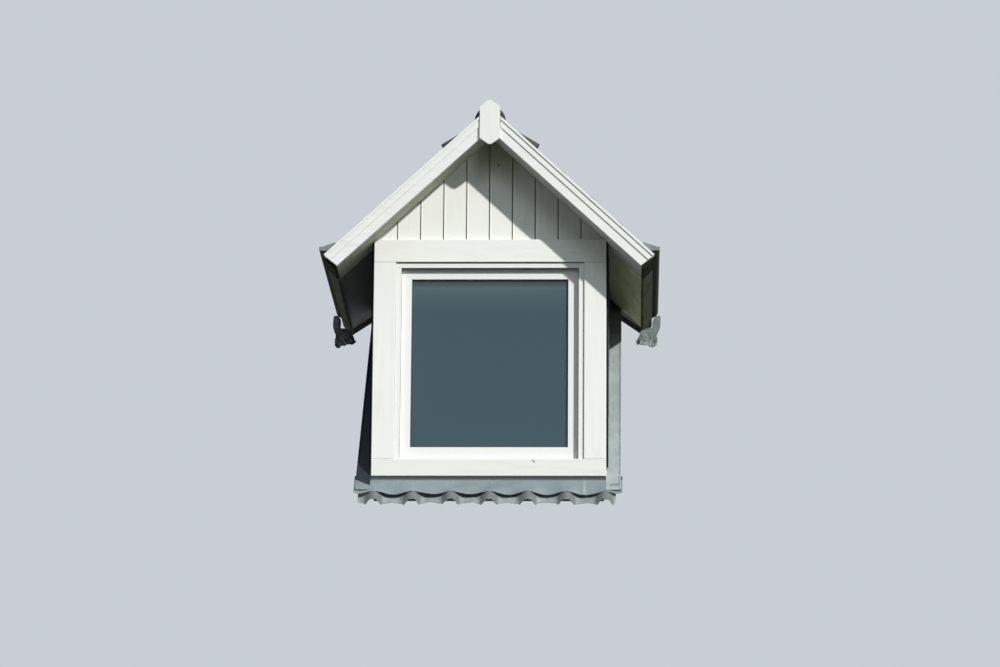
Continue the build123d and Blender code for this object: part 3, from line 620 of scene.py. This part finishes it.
# Paint of the casing's head, with painted shade under the right-hand soffit and a painted shade line
# along its edge over the frame
paint_head = painted(
    "white_paint_head", white, old_white, grain=LEVEL_GRAIN, soffit_shade_share=0.55,
    joint_shade_lines=[dict(axis="Z", place=1.0352, reach=0.0005, share=0.97)],
)
paint_sill = painted(
    "white_paint_sill", (0.78, 0.80, 0.77), old_white, grain=LEVEL_GRAIN,
    marks=[
        dict(x=SCRATCH_X, z=SCRATCH_Z, reach=0.0045),
        dict(x=SCRATCH_X + 0.006, z=SCRATCH_Z - 0.006, reach=0.0040),
    ],
)
paint_frame = painted(
    "white_paint_frame", (0.80, 0.81, 0.79), sash_dirt, dirt=0.2,
    # Painted shade lines under the frame's top strip and in the gap beside the sash
    joint_shade_lines=[
        dict(axis="Z", place=1.0112, reach=0.0004, share=0.75),
        dict(axis="X", place=0.3932, reach=0.0004, share=0.6),
    ],
)
paint_sash = painted(
    "white_paint_sash", (0.79, 0.80, 0.785), sash_dirt, dirt=0.2,
    # Painted shade: the frame's shadow along the sash's top, and a line in the gap at its sides
    joint_shade_lines=[
        dict(axis="Z", place=1.0060, reach=0.0052, share=0.30),
        dict(axis="X", place=0.3925, reach=0.0016, share=0.5),
    ],
)
paint_gable = gable_paint("white_paint_gable", (0.83, 0.845, 0.81), (0.64, 0.66, 0.53))
paint_left = painted("white_paint_slope_left", *sloped, grain=LEVEL_GRAIN, turn=ROOF)
paint_right = painted("white_paint_slope_right", *sloped, grain=LEVEL_GRAIN, turn=-ROOF)
# Left soffit: its eave boards are much darker, as painted shade
paint_soffit_left_painted_shade = soffit_paint("grey_paint_soffit_left_painted_shade", (0.47, 0.48, 0.38), (0.12, 0.118, 0.108))
# Right soffit: its eave boards are bright, as painted light thrown up from the lit roof beside them
paint_soffit_right_painted_light = soffit_paint("grey_paint_soffit_right_painted_light", (0.60, 0.62, 0.57), (0.93, 0.98, 0.62))
paint_fascia = fascia_paint("dark_paint_fascia", (0.150, 0.165, 0.112), (0.022, 0.026, 0.012))
# Timber of the sole, valley boards and deck, nearly black as painted shade
dark_wood_painted_shade = bare_wood("dark_wood_painted_shade", (0.055, 0.050, 0.040), (0.030, 0.028, 0.024), LEVEL_WOOD)
timber = bare_wood("carcass_wood", *softwood, LEVEL_WOOD)
timber_upright = bare_wood("carcass_wood_upright", *softwood, UPRIGHT_WOOD)
# Apron zinc, with the casing's shadow painted along its top
zinc_apron = sheet_metal(
    "apron_zinc", *dull_zinc, seam=(0.412, 0.424),
    shadow=dict(
        axis="Z", low=0.0395, high=0.0510, first=0.0, last=0.93, dark=(0.035, 0.042, 0.048),
    ),
)
zinc = sheet_metal("zinc_sheet", (0.48, 0.54, 0.54), (0.39, 0.445, 0.45), (0.64, 0.69, 0.67))
# Cheek zinc, darkened as painted shade for the shade the cheeks stand in, and darker still on their
# front edges
zinc_cheek_painted_shade = sheet_metal(
    "zinc_cheek_painted_shade", (0.17, 0.195, 0.22), (0.13, 0.15, 0.17), (0.24, 0.27, 0.28),
    metal=0.0, rough=0.7, shine=0.08,
    shadow=dict(
        axis="Y", low=-0.0625, high=-0.0600, first=0.97, last=0.0, dark=(0.010, 0.013, 0.012),
    ),
)
# Left side flashing, with painted shade over its upper part, where the dormer shades it
zinc_left_painted_shade = sheet_metal(
    "zinc_flashing_left_painted_shade", *dull_zinc,
    shadow=dict(
        axis="Z", low=-0.2450, high=-0.2400, first=0.0, last=0.95, dark=(0.016, 0.024, 0.036),
        lean=0.496,
    ),
)
# Gutter zinc; its darkest colour is painted shade
zinc_gutter = gutter_zinc(
    "zinc_gutter", (0.23, 0.25, 0.26), (0.050, 0.052, 0.048), (0.016, 0.018, 0.014),
)
lead = sheet_metal(
    "lead_sheet", (0.27, 0.30, 0.31), (0.175, 0.195, 0.205), (0.42, 0.44, 0.435),
    metal=0.2, rough=0.6,
)
# Dressed lead, with painted shade on its crests under the apron's hem
lead_dressed = sheet_metal(
    "lead_dressed", (0.29, 0.325, 0.33), (0.21, 0.235, 0.245), (0.46, 0.48, 0.475),
    metal=0.1, rough=0.7, crests=True,
)
lead_pale = sheet_metal(
    "lead_flap", (0.19, 0.235, 0.215), (0.13, 0.155, 0.145), (0.46, 0.48, 0.46),
    metal=0.1, rough=0.6,
)
# Left gutter flap: a darker copy of the flap's lead, as painted shade on the dormer's shaded side
lead_flap_painted_shade = sheet_metal(
    "lead_flap_left_painted_shade", (0.075, 0.085, 0.10), (0.05, 0.055, 0.065), (0.13, 0.14, 0.15),
    metal=0.1, rough=0.6,
)
tile = fired_tile("roof_tile", (0.033, 0.033, 0.032), (0.056, 0.055, 0.051), (0.12, 0.13, 0.10))
mortar = fired_tile("ridge_mortar", (0.30, 0.29, 0.26), (0.20, 0.19, 0.17), (0.14, 0.15, 0.10))
glass = window_glass("window_glass")
rubber = gasket_rubber("black_rubber", (0.012, 0.013, 0.014))

# Apron: zinc sheet below the casing, its hem drooping between the lead's crests
APRON_HALF = 0.586
APRON_RUN = 0.118
APRON_SHEET = 0.0014
APRON_LEVEL = CREST_LEVEL + SHEET
APRON_TOP_RUN = CASING_FOOT_Z / SEAT_SIN - APRON_LEVEL
APRON_COLUMNS = 300
APRON_SHARES = (0.0, 0.08, 0.2, 0.35, 0.5, 0.62, 0.7, 0.78, 0.86, 0.93, 1.0)
APRON_SEAMS = (0.418, -0.334)
SEAM_HALF = 0.012
SEAM_RISE = 0.0012
HEM_BEAD = 0.0017
HEM_BEAD_SIDES = 6
HEM_BEAD_SHARE = 0.995
DROOP_SHARE = 0.62
DROOP_DEPTH = 0.0125
DROOP_MORE_RIGHT = 0.0040
DROOP_BACK = 0.012
HEM_FADE = 0.06
APRON_BUCKLE = 0.0013
APRON_DENT = 0.0008
FOLD_GAP = 0.0004
FOLD_TUCK = 0.0005
FOLD_LAP = 0.001


def apron_hem(x):
    """How far the hem droops, from 0 over a crest to about 1 over a dip."""
    wave = 1 - hump(2 * (x - CREST_OFFSET) / TILE_PITCH)
    fade = smooth((APRON_HALF - abs(x)) / HEM_FADE + 0.4)
    return wave ** 0.8 * fade * (0.85 + 0.3 * noise.noise((x * 9, 3.1, 0)))


def apron_point(x, share):
    """Point of the apron's face: share runs from the fold under the casing to the hem."""
    droop = apron_hem(x) * smooth((share - DROOP_SHARE) / (1 - DROOP_SHARE))
    run = CASING_FOOT_RUN - APRON_RUN * share + (APRON_TOP_RUN - CASING_FOOT_RUN) * (1 - share)
    level = APRON_LEVEL - (DROOP_DEPTH + DROOP_MORE_RIGHT * smooth((x + 0.1) / 0.3)) * droop
    level += APRON_BUCKLE * noise.noise((x * 14, share * 3, 0.4)) * smooth(share * 3)
    level += APRON_DENT * noise.noise((x * 45, share * 8, 2.2)) * smooth(share * 3)
    for seam in APRON_SEAMS:
        level += SEAM_RISE * smooth(1 - abs(x - seam) / SEAM_HALF)
    return on_seat(x, run - DROOP_BACK * droop, level)


def make_apron():
    """The apron's face, the strip turned in under the casing, and the bead along the hem."""
    builder = bmesh.new()
    places = evenly(-APRON_HALF, APRON_HALF, APRON_COLUMNS)
    face = [[apron_point(x, share) for x in places] for share in APRON_SHARES]
    add_sheet(builder, face, APRON_SHEET)
    inside = [x for x in places if abs(x) < WALL_HALF]
    strip = [
        [Vector((x, CASING_BACK_Y - FOLD_TUCK, CASING_FOOT_Z - FOLD_GAP)) for x in inside],
        [apron_point(x, 0.0) + Vector((0, FOLD_LAP, -FOLD_GAP)) for x in inside],
    ]
    add_sheet(builder, strip, APRON_SHEET)
    bead = [apron_point(x, HEM_BEAD_SHARE) for x in places]
    add_wire(builder, bead, HEM_BEAD, HEM_BEAD_SIDES)
    finish_piece("apron_sheet", builder, zinc_apron, ["apron"])


# Lead below the apron, dressed in waves and cut back in an arc at each dip
LEAD_LEFT = -0.567
LEAD_RIGHT = 0.557
LEAD_RUN = 0.195
LEAD_TOP = 0.075
LEAD_SHEET = 0.0018
LEAD_SCALLOP = 0.032
LEAD_SCALLOP_HALF = 0.047
LEAD_CREST_HALF = 0.060
LEAD_CREST_CUT = 0.014
LEAD_CREST_CUT_FROM = 0.052
LEAD_CREST_CUT_EASE = 0.018
LEAD_DIP_FILL = 0.004
LEAD_DENT = 0.0022
LEAD_SMALL_DENT = 0.0011
LEAD_SINK = 0.0016
LEAD_LIFT = 0.002
LEAD_LIFT_SHARE = 0.85
LEAD_TOP_GAP = 0.0004
LEAD_COLUMNS = 560
LEAD_SHARES = (0.0, 0.2, 0.35, 0.47, 0.58, 0.68, 0.77, 0.85, 0.92, 0.97, 1.0)
LEAD_TORN_FROM = 0.50
LEAD_TORN = 0.009


def lead_foot(x):
    """Run of the lead's lower edge."""
    across = from_dip(x)
    reach = LEAD_RUN + 0.003 * noise.noise((x * 11, 7.7, 0))
    reach -= LEAD_CREST_CUT * smooth((abs(across) - LEAD_CREST_CUT_FROM) / LEAD_CREST_CUT_EASE)
    cut = max(0.0, 1 - (across / LEAD_SCALLOP_HALF) ** 2) ** 0.5 * LEAD_SCALLOP
    reach -= cut * (1 + 0.18 * noise.noise((x * 6, 1.9, 0)))
    reach += 0.0035 * noise.noise((x * 60, 0.3, 5)) + 0.0016 * noise.noise((x * 190, 0.3, 9))
    if x > LEAD_TORN_FROM:
        reach += LEAD_TORN * noise.noise((x * 75, 4.4, 1)) - 0.002
    return CASING_FOOT_RUN - min(reach, LEAD_RUN)


def lead_point(x, share):
    """Point of the lead's face between its hidden top edge and its cut lower edge."""
    top = CASING_FOOT_RUN - LEAD_TOP
    run = top + (lead_foot(x) - top) * share
    height = hump(min(abs(from_crest(x)) / LEAD_CREST_HALF, 1.0)) ** 1.1
    level = CREST_LEVEL - (WAVE_DEPTH - LEAD_DIP_FILL) * (1 - height)
    dents = LEAD_DENT * noise.noise((x * 30, run * 22, 0.7))
    dents += LEAD_SMALL_DENT * noise.noise((x * 85, run * 60, 3))
    lift = smooth((share - LEAD_LIFT_SHARE) / (1 - LEAD_LIFT_SHARE))
    lift *= LEAD_LIFT * (0.5 + noise.noise((x * 24, 8, 2)))
    level += (dents - LEAD_SINK) * (1 - 0.7 * height) + lift
    return on_seat(x, run, min(level, CREST_LEVEL - LEAD_TOP_GAP))


def make_dressed_lead():
    """The lead in one sheet."""
    builder = bmesh.new()
    places = evenly(LEAD_LEFT, LEAD_RIGHT, LEAD_COLUMNS)
    rows = [[lead_point(x, share) for x in places] for share in LEAD_SHARES]
    add_sheet(builder, rows, LEAD_SHEET)
    finish_piece("dressed_lead", builder, lead_dressed, ["apron_lead"])


# Pantiles of the dormer's roof, one by one, cut along the valley and under the ridge tiles
TILE_GAUGE = 0.175
TILE_THICK = 0.012
TILE_WAVE = 0.032
TILE_ROLL_HALF = 0.044
TILE_PAN_DIP = 0.0012
TILE_EDGE = 0.0022
TILE_NUDGE = 0.0012
TILE_SKEW = 0.004
TILE_LEAN = math.asin(0.0123 / TILE_GAUGE)
TILE_FOOT_RISE = 0.04196
TILE_ACROSS = (
    -0.046, -0.036, -0.028, -0.019, -0.010, 0.0, 0.010, 0.019, 0.028, 0.036,
    0.044, 0.060, 0.080, 0.100, 0.1205,
)
TILE_ALONG = (0.0, 0.05, 0.10, 0.16, 0.22)
EAVE_TILE_FALL = 0.90504
TILE_START_Y = -0.231
FIRST_ROLL = 0.050
COURSES = 5
ROLLS = 10
VALLEY_CUT = 0.078
RIDGE_CUT = 0.057
TOP_LIFT = 0.020
TOP_LIFT_LENGTH = 0.15
draw = random.Random(43)


def tile_section(across):
    """Height of one pantile above its pan's underside, from its roll to its far edge."""
    if abs(across) < TILE_ROLL_HALF:
        return TILE_WAVE * hump(across / TILE_ROLL_HALF) ** 0.9
    middle = (across - TILE_PITCH / 2) / (TILE_PITCH / 2 - TILE_ROLL_HALF)
    return -TILE_PAN_DIP * max(0.0, 1 - middle * middle)


def add_pantile(mesh_builder, butt_fall, roll_y, side, tone_layer):
    """Adds one tile: a grid bent to its section, given its wall, with its long edges eased."""
    nudge = draw.uniform(-TILE_NUDGE, TILE_NUDGE)
    skew = draw.uniform(-TILE_SKEW, TILE_SKEW)
    tone = draw.random()
    lift = TOP_LIFT if butt_fall < TILE_GAUGE * 1.5 else 0.0
    lean_cos, lean_sin = math.cos(TILE_LEAN), math.sin(TILE_LEAN)
    rows = []
    for along in TILE_ALONG:
        row = []
        for across in TILE_ACROSS:
            height = tile_section(across) + TILE_THICK
            place = along + nudge + skew * across
            fall = butt_fall - place * lean_cos - height * lean_sin
            rise = TILE_FOOT_RISE - place * lean_sin + height * lean_cos
            rise += lift * max(0.0, 1 - along / TOP_LIFT_LENGTH)
            row.append(on_roof(fall, rise, roll_y + across, side))
        rows.append(row)
    verts, faces = bend_grid(mesh_builder, rows, turned=side < 0)
    for vert in verts:
        vert[tone_layer] = tone
    edges = dict.fromkeys(edge for face in faces for edge in face.edges)
    rim = [edge for edge in edges if edge.is_boundary]
    bmesh.ops.solidify(mesh_builder, geom=faces, thickness=TILE_THICK)
    bmesh.ops.bevel(
        mesh_builder, geom=[edge for edge in rim if edge.is_valid], offset=TILE_EDGE,
        offset_type="OFFSET", segments=2, profile=0.5, affect="EDGES", material=-1,
        clamp_overlap=True,
    )


def make_pantiles(side, side_name):
    """One slope's tiles, course by course, as far back as their feet are above the seat."""
    builder = bmesh.new()
    tone_layer = builder.verts.layers.float.new("tile_tone")
    for course in range(COURSES):
        butt = EAVE_TILE_FALL - course * TILE_GAUGE
        for roll in range(ROLLS):
            roll_y = TILE_START_Y + FIRST_ROLL + roll * TILE_PITCH
            foot = on_roof(butt, TILE_FOOT_RISE, roll_y, side)
            if foot.z >= foot.y:
                add_pantile(builder, butt, roll_y, side, tone_layer)
    cut_below(builder, VALLEY_CUT)
    cut_away(builder, Vector((side * RIDGE_CUT, 0, 0)), Vector((-side, 0, 0)))
    finish_piece("pantiles_" + side_name, builder, tile, ["tiles_" + side_name])


# Ridge tiles with their collars, one by one, and the mortar they are bedded on
RIDGE_Z = APEX_Z + 0.034
RIDGE_RADIUS = 0.069
RIDGE_SKIRT = 0.033
RIDGE_WALL = 0.012
RIDGE_LENGTH = 0.330
RIDGE_JOINT = 0.003
RIDGE_COLLAR = 0.045
RIDGE_COLLAR_STEP = 0.007
RIDGE_DROOP = 0.0012
RIDGE_TILES = 6
RIDGE_ARC = 24
# Each stage of a ridge tile is a distance from its front end and a step out there.
RIDGE_END = (RIDGE_LENGTH - RIDGE_JOINT, 0.0)
PLAIN_STAGES = ((0.0, 0.0), RIDGE_END)
COLLAR_STAGES = (
    (0.0, 0.0055), (0.003, RIDGE_COLLAR_STEP), (RIDGE_COLLAR - 0.004, RIDGE_COLLAR_STEP),
    (RIDGE_COLLAR, 0.0045), (RIDGE_COLLAR + 0.003, 0.0), RIDGE_END,
)
MORTAR_START_Y = TILE_START_Y + 0.004
MORTAR_END_Y = 1.481
MORTAR_COLUMNS = 220
MORTAR_STEPS = 5
MORTAR_WALL = 0.012
MORTAR_TOP = 0.092
MORTAR_FALL = 0.086
MORTAR_WIDTH = 0.030
MORTAR_FILL = 0.018
MORTAR_EDGE_SINK = 0.004
MORTAR_UNEVEN_EDGE = 0.004
MORTAR_UNEVEN_FACE = 0.003
MORTAR_CLEAR = 0.004
MORTAR_SPREAD = 0.022


def ridge_ring(radius, y, droop):
    """Points over the ridge from the left skirt to the right one."""
    low = RIDGE_Z - RIDGE_SKIRT - droop
    ring = [Vector((-radius, y, low))]
    for turn in evenly(0.0, math.pi, RIDGE_ARC):
        ring.append(Vector((-radius * math.cos(turn), y, RIDGE_Z + radius * math.sin(turn) - droop)))
    ring.append(Vector((radius, y, low)))
    return ring


def mortar_point(y, share, side):
    """Point of the mortar's face, from under the ridge tile down to its edge on the tiles."""
    across = (y - TILE_START_Y - FIRST_ROLL - TILE_ACROSS[0]) % TILE_PITCH + TILE_ACROSS[0]
    fall = MORTAR_FALL + MORTAR_WIDTH * share
    fall += MORTAR_UNEVEN_EDGE * noise.noise((y * 23, side, share * 2))
    rise = TILE_FOOT_RISE + TILE_THICK + tile_section(across)
    rise += MORTAR_FILL * (1 - share) - MORTAR_EDGE_SINK * share
    rise += MORTAR_UNEVEN_FACE * noise.noise((y * 40, side, share * 5))
    point = on_roof(fall, min(rise, MORTAR_TOP), y, side)
    point.x = side * min(abs(point.x), RIDGE_RADIUS + MORTAR_CLEAR + MORTAR_SPREAD * share)
    return point


def make_ridge_tiles():
    """The row of ridge tiles. All but the first have a collar over the one in front."""
    builder = bmesh.new()
    tone_layer = builder.verts.layers.float.new("tile_tone")
    for number in range(RIDGE_TILES):
        start_y = TILE_START_Y + number * RIDGE_LENGTH
        droop = draw.uniform(0.0, RIDGE_DROOP)
        stages = COLLAR_STAGES if number else PLAIN_STAGES
        rows = [ridge_ring(RIDGE_RADIUS + step, start_y + along, droop) for along, step in stages]
        older = set(builder.verts)
        add_sheet(builder, rows, RIDGE_WALL)
        tone = draw.random()
        for vert in builder.verts:
            if vert not in older:
                vert[tone_layer] = tone
    cut_below(builder, CREST_LEVEL)
    finish_piece("ridge_tile_row", builder, tile, ["ridge_tiles"])


def make_mortar():
    """The bed of mortar along both sides of the ridge."""
    builder = bmesh.new()
    places = evenly(MORTAR_START_Y, MORTAR_END_Y, MORTAR_COLUMNS)
    shares = evenly(0.0, 1.0, MORTAR_STEPS)
    for side in (1, -1):
        ordered = places if side > 0 else places[::-1]
        rows = [[mortar_point(y, share, side) for y in ordered] for share in shares]
        add_sheet(builder, rows, MORTAR_WALL)
    cut_below(builder, CREST_LEVEL)
    finish_piece("ridge_mortar", builder, mortar)


# Lead under the rear end of each gutter: a tongue with a crumpled foot.
# Each line of its outline is a run up the slope with the inner and outer edge there.
FLAP_OUTLINE = (
    (1.1085, 0.676, 0.732), (1.118, 0.663, 0.741), (1.130, 0.6545, 0.745), (1.142, 0.6475, 0.744),
    (1.152, 0.6462, 0.747), (1.163, 0.6530, 0.745), (1.175, 0.6560, 0.747), (1.188, 0.6600, 0.744),
    (1.200, 0.6640, 0.744), (1.206, 0.6655, 0.745), (1.213, 0.6670, 0.749), (1.225, 0.6740, 0.753),
    (1.236, 0.6860, 0.755), (1.246, 0.7000, 0.7570), (1.2485, 0.7228, 0.7575),
    (1.262, 0.7230, 0.7595), (1.280, 0.7235, 0.7605), (1.300, 0.7240, 0.7615),
    (1.320, 0.7265, 0.7618), (1.340, 0.7320, 0.7620), (1.354, 0.7390, 0.7610),
    (1.362, 0.7480, 0.7580),
)
FLAP_CREASE = 1.208
FLAP_SHEET = 0.0022
FLAP_STEPS = 4
FLAP_COLUMNS = 36
FLAP_STRAIGHT_X = 0.74
CREST_FLANK_IN = 0.038
CREST_FLANK_OUT = 0.046
FLAP_LEVEL = 0.1115
FLAP_DENT = 0.0035
FLAP_CREASE_DEPTH = 0.006
FLAP_CREASE_EASE = 0.012
FLAP_FOOT_LEVEL = 0.1105
FLAP_FOOT_WAVE = 0.011
FLAP_FOLD = 0.016
FLAP_SMALL_FOLD = 0.005


def crest_profile(x):
    """Height of the waves that the flap's foot is beaten to, from 0 in a dip to 1 on a crest."""
    across = from_crest(x)
    flank = CREST_FLANK_IN if across < 0 else CREST_FLANK_OUT
    if abs(across) >= flank:
        return 0.0
    return hump(across / flank) ** 0.85


def flap_point(x, run, side):
    """Point of the flap: flat above its crease, dressed and crumpled below it."""
    below = smooth((FLAP_CREASE - run) / FLAP_CREASE_EASE)
    fold = FLAP_FOLD * abs(noise.noise((x * 42, run * 30, side * 2.0)))
    fold += FLAP_SMALL_FOLD * abs(noise.noise((x * 95, run * 70, 4.0 + side)))
    high = FLAP_LEVEL - FLAP_DENT * abs(noise.noise((x * 30, run * 25, 1.3 * side)))
    high -= FLAP_CREASE_DEPTH * smooth(1 - abs(run - FLAP_CREASE) / FLAP_CREASE_DEPTH)
    low = FLAP_FOOT_LEVEL - FLAP_FOOT_WAVE * (1 - crest_profile(min(x, FLAP_STRAIGHT_X))) - fold
    return on_seat(side * x, run, high + (low - high) * below)


def make_gutter_flap(side, side_name, finish):
    """One gutter's lead, in rows across its outline."""
    builder = bmesh.new()
    rows = []
    for lower, upper in zip(FLAP_OUTLINE, FLAP_OUTLINE[1:]):
        for step in range(FLAP_STEPS):
            share = step / FLAP_STEPS
            run, inner, outer = (first + (last - first) * share for first, last in zip(lower, upper))
            row = [flap_point(x, run, side) for x in evenly(inner, outer, FLAP_COLUMNS)]
            rows.append(row if side > 0 else row[::-1])
    add_sheet(builder, rows, FLAP_SHEET)
    finish_piece("gutter_flap_" + side_name, builder, finish, ["gutter_leads"])


# Gasket round the glass
GLASS_HALF = 0.347
GLASS_LOW = 0.20266
GLASS_HIGH = 0.96516
GLASS_FACE_Y = -0.054
GASKET_IN = 0.0035
GASKET_OUT = 0.0005
GASKET_NEAR_Y = GLASS_FACE_Y - 0.003
GASKET_FAR_Y = GLASS_FACE_Y + 0.001


def make_gasket():
    """Four bars over the edge of the glass."""
    builder = bmesh.new()
    for left_x, right_x, low_z, high_z in (
        (-GLASS_HALF - GASKET_OUT, -GLASS_HALF + GASKET_IN, GLASS_LOW, GLASS_HIGH),
        (GLASS_HALF - GASKET_IN, GLASS_HALF + GASKET_OUT, GLASS_LOW, GLASS_HIGH),
        (-GLASS_HALF, GLASS_HALF, GLASS_LOW - GASKET_OUT, GLASS_LOW + GASKET_IN),
        (-GLASS_HALF, GLASS_HALF, GLASS_HIGH - GASKET_IN, GLASS_HIGH + GASKET_OUT),
    ):
        low_corner = Vector((left_x, GASKET_NEAR_Y, low_z))
        add_bar(builder, low_corner, Vector((right_x, GASKET_FAR_Y, high_z)))
    finish_piece("glass_gasket", builder, rubber, smooth_angle=0)


make_apron()
make_dressed_lead()
make_pantiles(1, "right")
make_pantiles(-1, "left")
make_ridge_tiles()
make_mortar()
make_gutter_flap(1, "right", lead_pale)
make_gutter_flap(-1, "left", lead_flap_painted_shade)
make_gasket()

# Finish of the CAD nodes
finishes = {
    "front_sole": dark_wood_painted_shade,
    "front_wall": timber_upright,
    "ridge_beam": timber,
    "gable_boards": paint_gable,
    "casing_head": paint_head,
    "casing_sill": paint_sill,
    "window_frame": paint_frame,
    "window_sash": paint_sash,
    "window_lining": paint_frame,
    "glass_pane": glass,
    "finial": paint_finial,
    "ridge_tiles": tile,
    "apron": zinc,
    "apron_lead": lead,
    "gutter_leads": lead,
}
side_finishes = {
    "side_sole": dark_wood_painted_shade,
    "valley_board": dark_wood_painted_shade,
    "roof_deck": dark_wood_painted_shade,
    "cheek_wall": timber_upright,
    "rafters": timber,
    "casing": paint_upright,
    "fascia": paint_fascia,
    "gutter": zinc_gutter,
    "tiles": tile,
    "valley_flashing": lead,
    "cheek_cladding": zinc_cheek_painted_shade,
}
for name, material in side_finishes.items():
    finishes[name + "_left"] = material
    finishes[name + "_right"] = material
finishes["bargeboard_left"] = finishes["barge_strip_left"] = paint_left
finishes["bargeboard_right"] = finishes["barge_strip_right"] = paint_right
finishes["soffit_left"] = paint_soffit_left_painted_shade
finishes["soffit_right"] = paint_soffit_right_painted_light
finishes["side_flashing_left"] = zinc_left_painted_shade
finishes["side_flashing_right"] = zinc
for name, material in finishes.items():
    nodes[name].data.materials.clear()
    nodes[name].data.materials.append(material)

# Floor, light and camera
BACKDROP = (0.58, 0.62, 0.66)
FLOOR_COLOUR = (0.09, 0.09, 0.08)
FLOOR_HALF = 60.0
FLOOR_Z = -4.6
SUN_STRENGTH = 3.8
SUN_COLOUR = (1.0, 0.975, 0.94)
SUN_SPREAD = math.radians(1.6)
SUN_FROM = (0.5608, -0.6409, 0.5243)
FILL_COLOUR = (0.76, 0.88, 0.92)
FILL_HEIGHTS = (-0.1, 0.8)
FILL_STRENGTHS = (0.16, 0.75)
CAMERA_LENS = 149.4
CAMERA_SENSOR = 36.0
CAMERA_REACH = 200.0
CAMERA_PLACE = (0.61646, -17.85297, -3.73701)
CAMERA_YAW, CAMERA_CLIMB, CAMERA_ROLL = -0.0321041, 0.2452569, 0.0075604


def shown_rays(tree):
    """1 for rays that show the background: from the camera, in metal and in glass."""
    rays = tree.nodes.new("ShaderNodeLightPath")
    shown = rays.outputs["Is Camera Ray"]
    for name in ("Is Glossy Ray", "Is Transmission Ray"):
        either = tree.nodes.new("ShaderNodeMath")
        either.operation = "MAXIMUM"
        tree.links.new(shown, either.inputs[0])
        tree.links.new(rays.outputs[name], either.inputs[1])
        shown = either.outputs[0]
    return shown


def add_floor():
    """Pale floor far below the dormer, plain backdrop to the camera."""
    builder = bmesh.new()
    bmesh.ops.create_grid(
        builder, x_segments=1, y_segments=1, size=FLOOR_HALF,
        matrix=Matrix.Translation((0, 0, FLOOR_Z)),
    )
    mesh = bpy.data.meshes.new("floor")
    builder.to_mesh(mesh)
    builder.free()
    floor = bpy.data.objects.new("floor", mesh)
    bpy.context.scene.collection.objects.link(floor)
    shade = Shade("pale_floor")
    shade.colour(shade.mix(shown_rays(shade.tree), FLOOR_COLOUR, BACKDROP))
    shade.rough(0.9)
    floor.data.materials.append(shade.material)


def add_sun():
    """Sun from high on the right, in front of the window."""
    sun_data = bpy.data.lights.new("key_light", "SUN")
    sun_data.energy = SUN_STRENGTH
    sun_data.angle = SUN_SPREAD
    sun_data.color = SUN_COLOUR
    sun = bpy.data.objects.new("key_light", sun_data)
    sun.rotation_mode = "QUATERNION"
    sun.rotation_quaternion = Vector(SUN_FROM).to_track_quat("Z", "Y")
    bpy.context.scene.collection.objects.link(sun)


def add_world():
    """Soft fill, stronger from above, with the plain backdrop where it shows."""
    world = bpy.data.worlds.new("studio")
    bpy.context.scene.world = world
    world.use_nodes = True
    dome = world.node_tree
    fill = dome.nodes["Background"]
    direction = dome.nodes.new("ShaderNodeTexCoord")
    height = dome.nodes.new("ShaderNodeSeparateXYZ")
    dome.links.new(direction.outputs["Generated"], height.inputs[0])
    spread = dome.nodes.new("ShaderNodeMapRange")
    spread.interpolation_type = "SMOOTHSTEP"
    spread.inputs["From Min"].default_value, spread.inputs["From Max"].default_value = FILL_HEIGHTS
    spread.inputs["To Min"].default_value, spread.inputs["To Max"].default_value = FILL_STRENGTHS
    dome.links.new(height.outputs["Z"], spread.inputs["Value"])
    fill.inputs["Color"].default_value = (*FILL_COLOUR, 1.0)
    dome.links.new(spread.outputs["Result"], fill.inputs["Strength"])
    backdrop = dome.nodes.new("ShaderNodeBackground")
    backdrop.inputs["Color"].default_value = (*BACKDROP, 1.0)
    backdrop.inputs["Strength"].default_value = 1.0
    choose = dome.nodes.new("ShaderNodeMixShader")
    dome.links.new(shown_rays(dome), choose.inputs[0])
    dome.links.new(fill.outputs[0], choose.inputs[1])
    dome.links.new(backdrop.outputs[0], choose.inputs[2])
    dome.links.new(choose.outputs[0], dome.nodes["World Output"].inputs["Surface"])


def add_camera():
    """Camera at the photograph's place, looking up at the gable."""
    camera_data = bpy.data.cameras.new("camera")
    camera_data.sensor_fit = "HORIZONTAL"
    camera_data.sensor_width = CAMERA_SENSOR
    camera_data.lens = CAMERA_LENS
    camera_data.clip_end = CAMERA_REACH
    camera = bpy.data.objects.new("camera", camera_data)
    ahead = Vector((
        math.sin(CAMERA_YAW) * math.cos(CAMERA_CLIMB),
        math.cos(CAMERA_YAW) * math.cos(CAMERA_CLIMB),
        math.sin(CAMERA_CLIMB),
    ))
    right = Vector((math.cos(CAMERA_YAW), -math.sin(CAMERA_YAW), 0))
    above = right.cross(ahead)
    camera_x = right * math.cos(CAMERA_ROLL) + above * math.sin(CAMERA_ROLL)
    camera_y = above * math.cos(CAMERA_ROLL) - right * math.sin(CAMERA_ROLL)
    turn = Matrix((camera_x, camera_y, -ahead)).transposed()
    camera.matrix_world = Matrix.Translation(CAMERA_PLACE) @ turn.to_4x4()
    bpy.context.scene.collection.objects.link(camera)
    bpy.context.scene.camera = camera


add_floor()
add_sun()
add_world()
add_camera()
bpy.context.scene.view_settings.view_transform = "Standard"
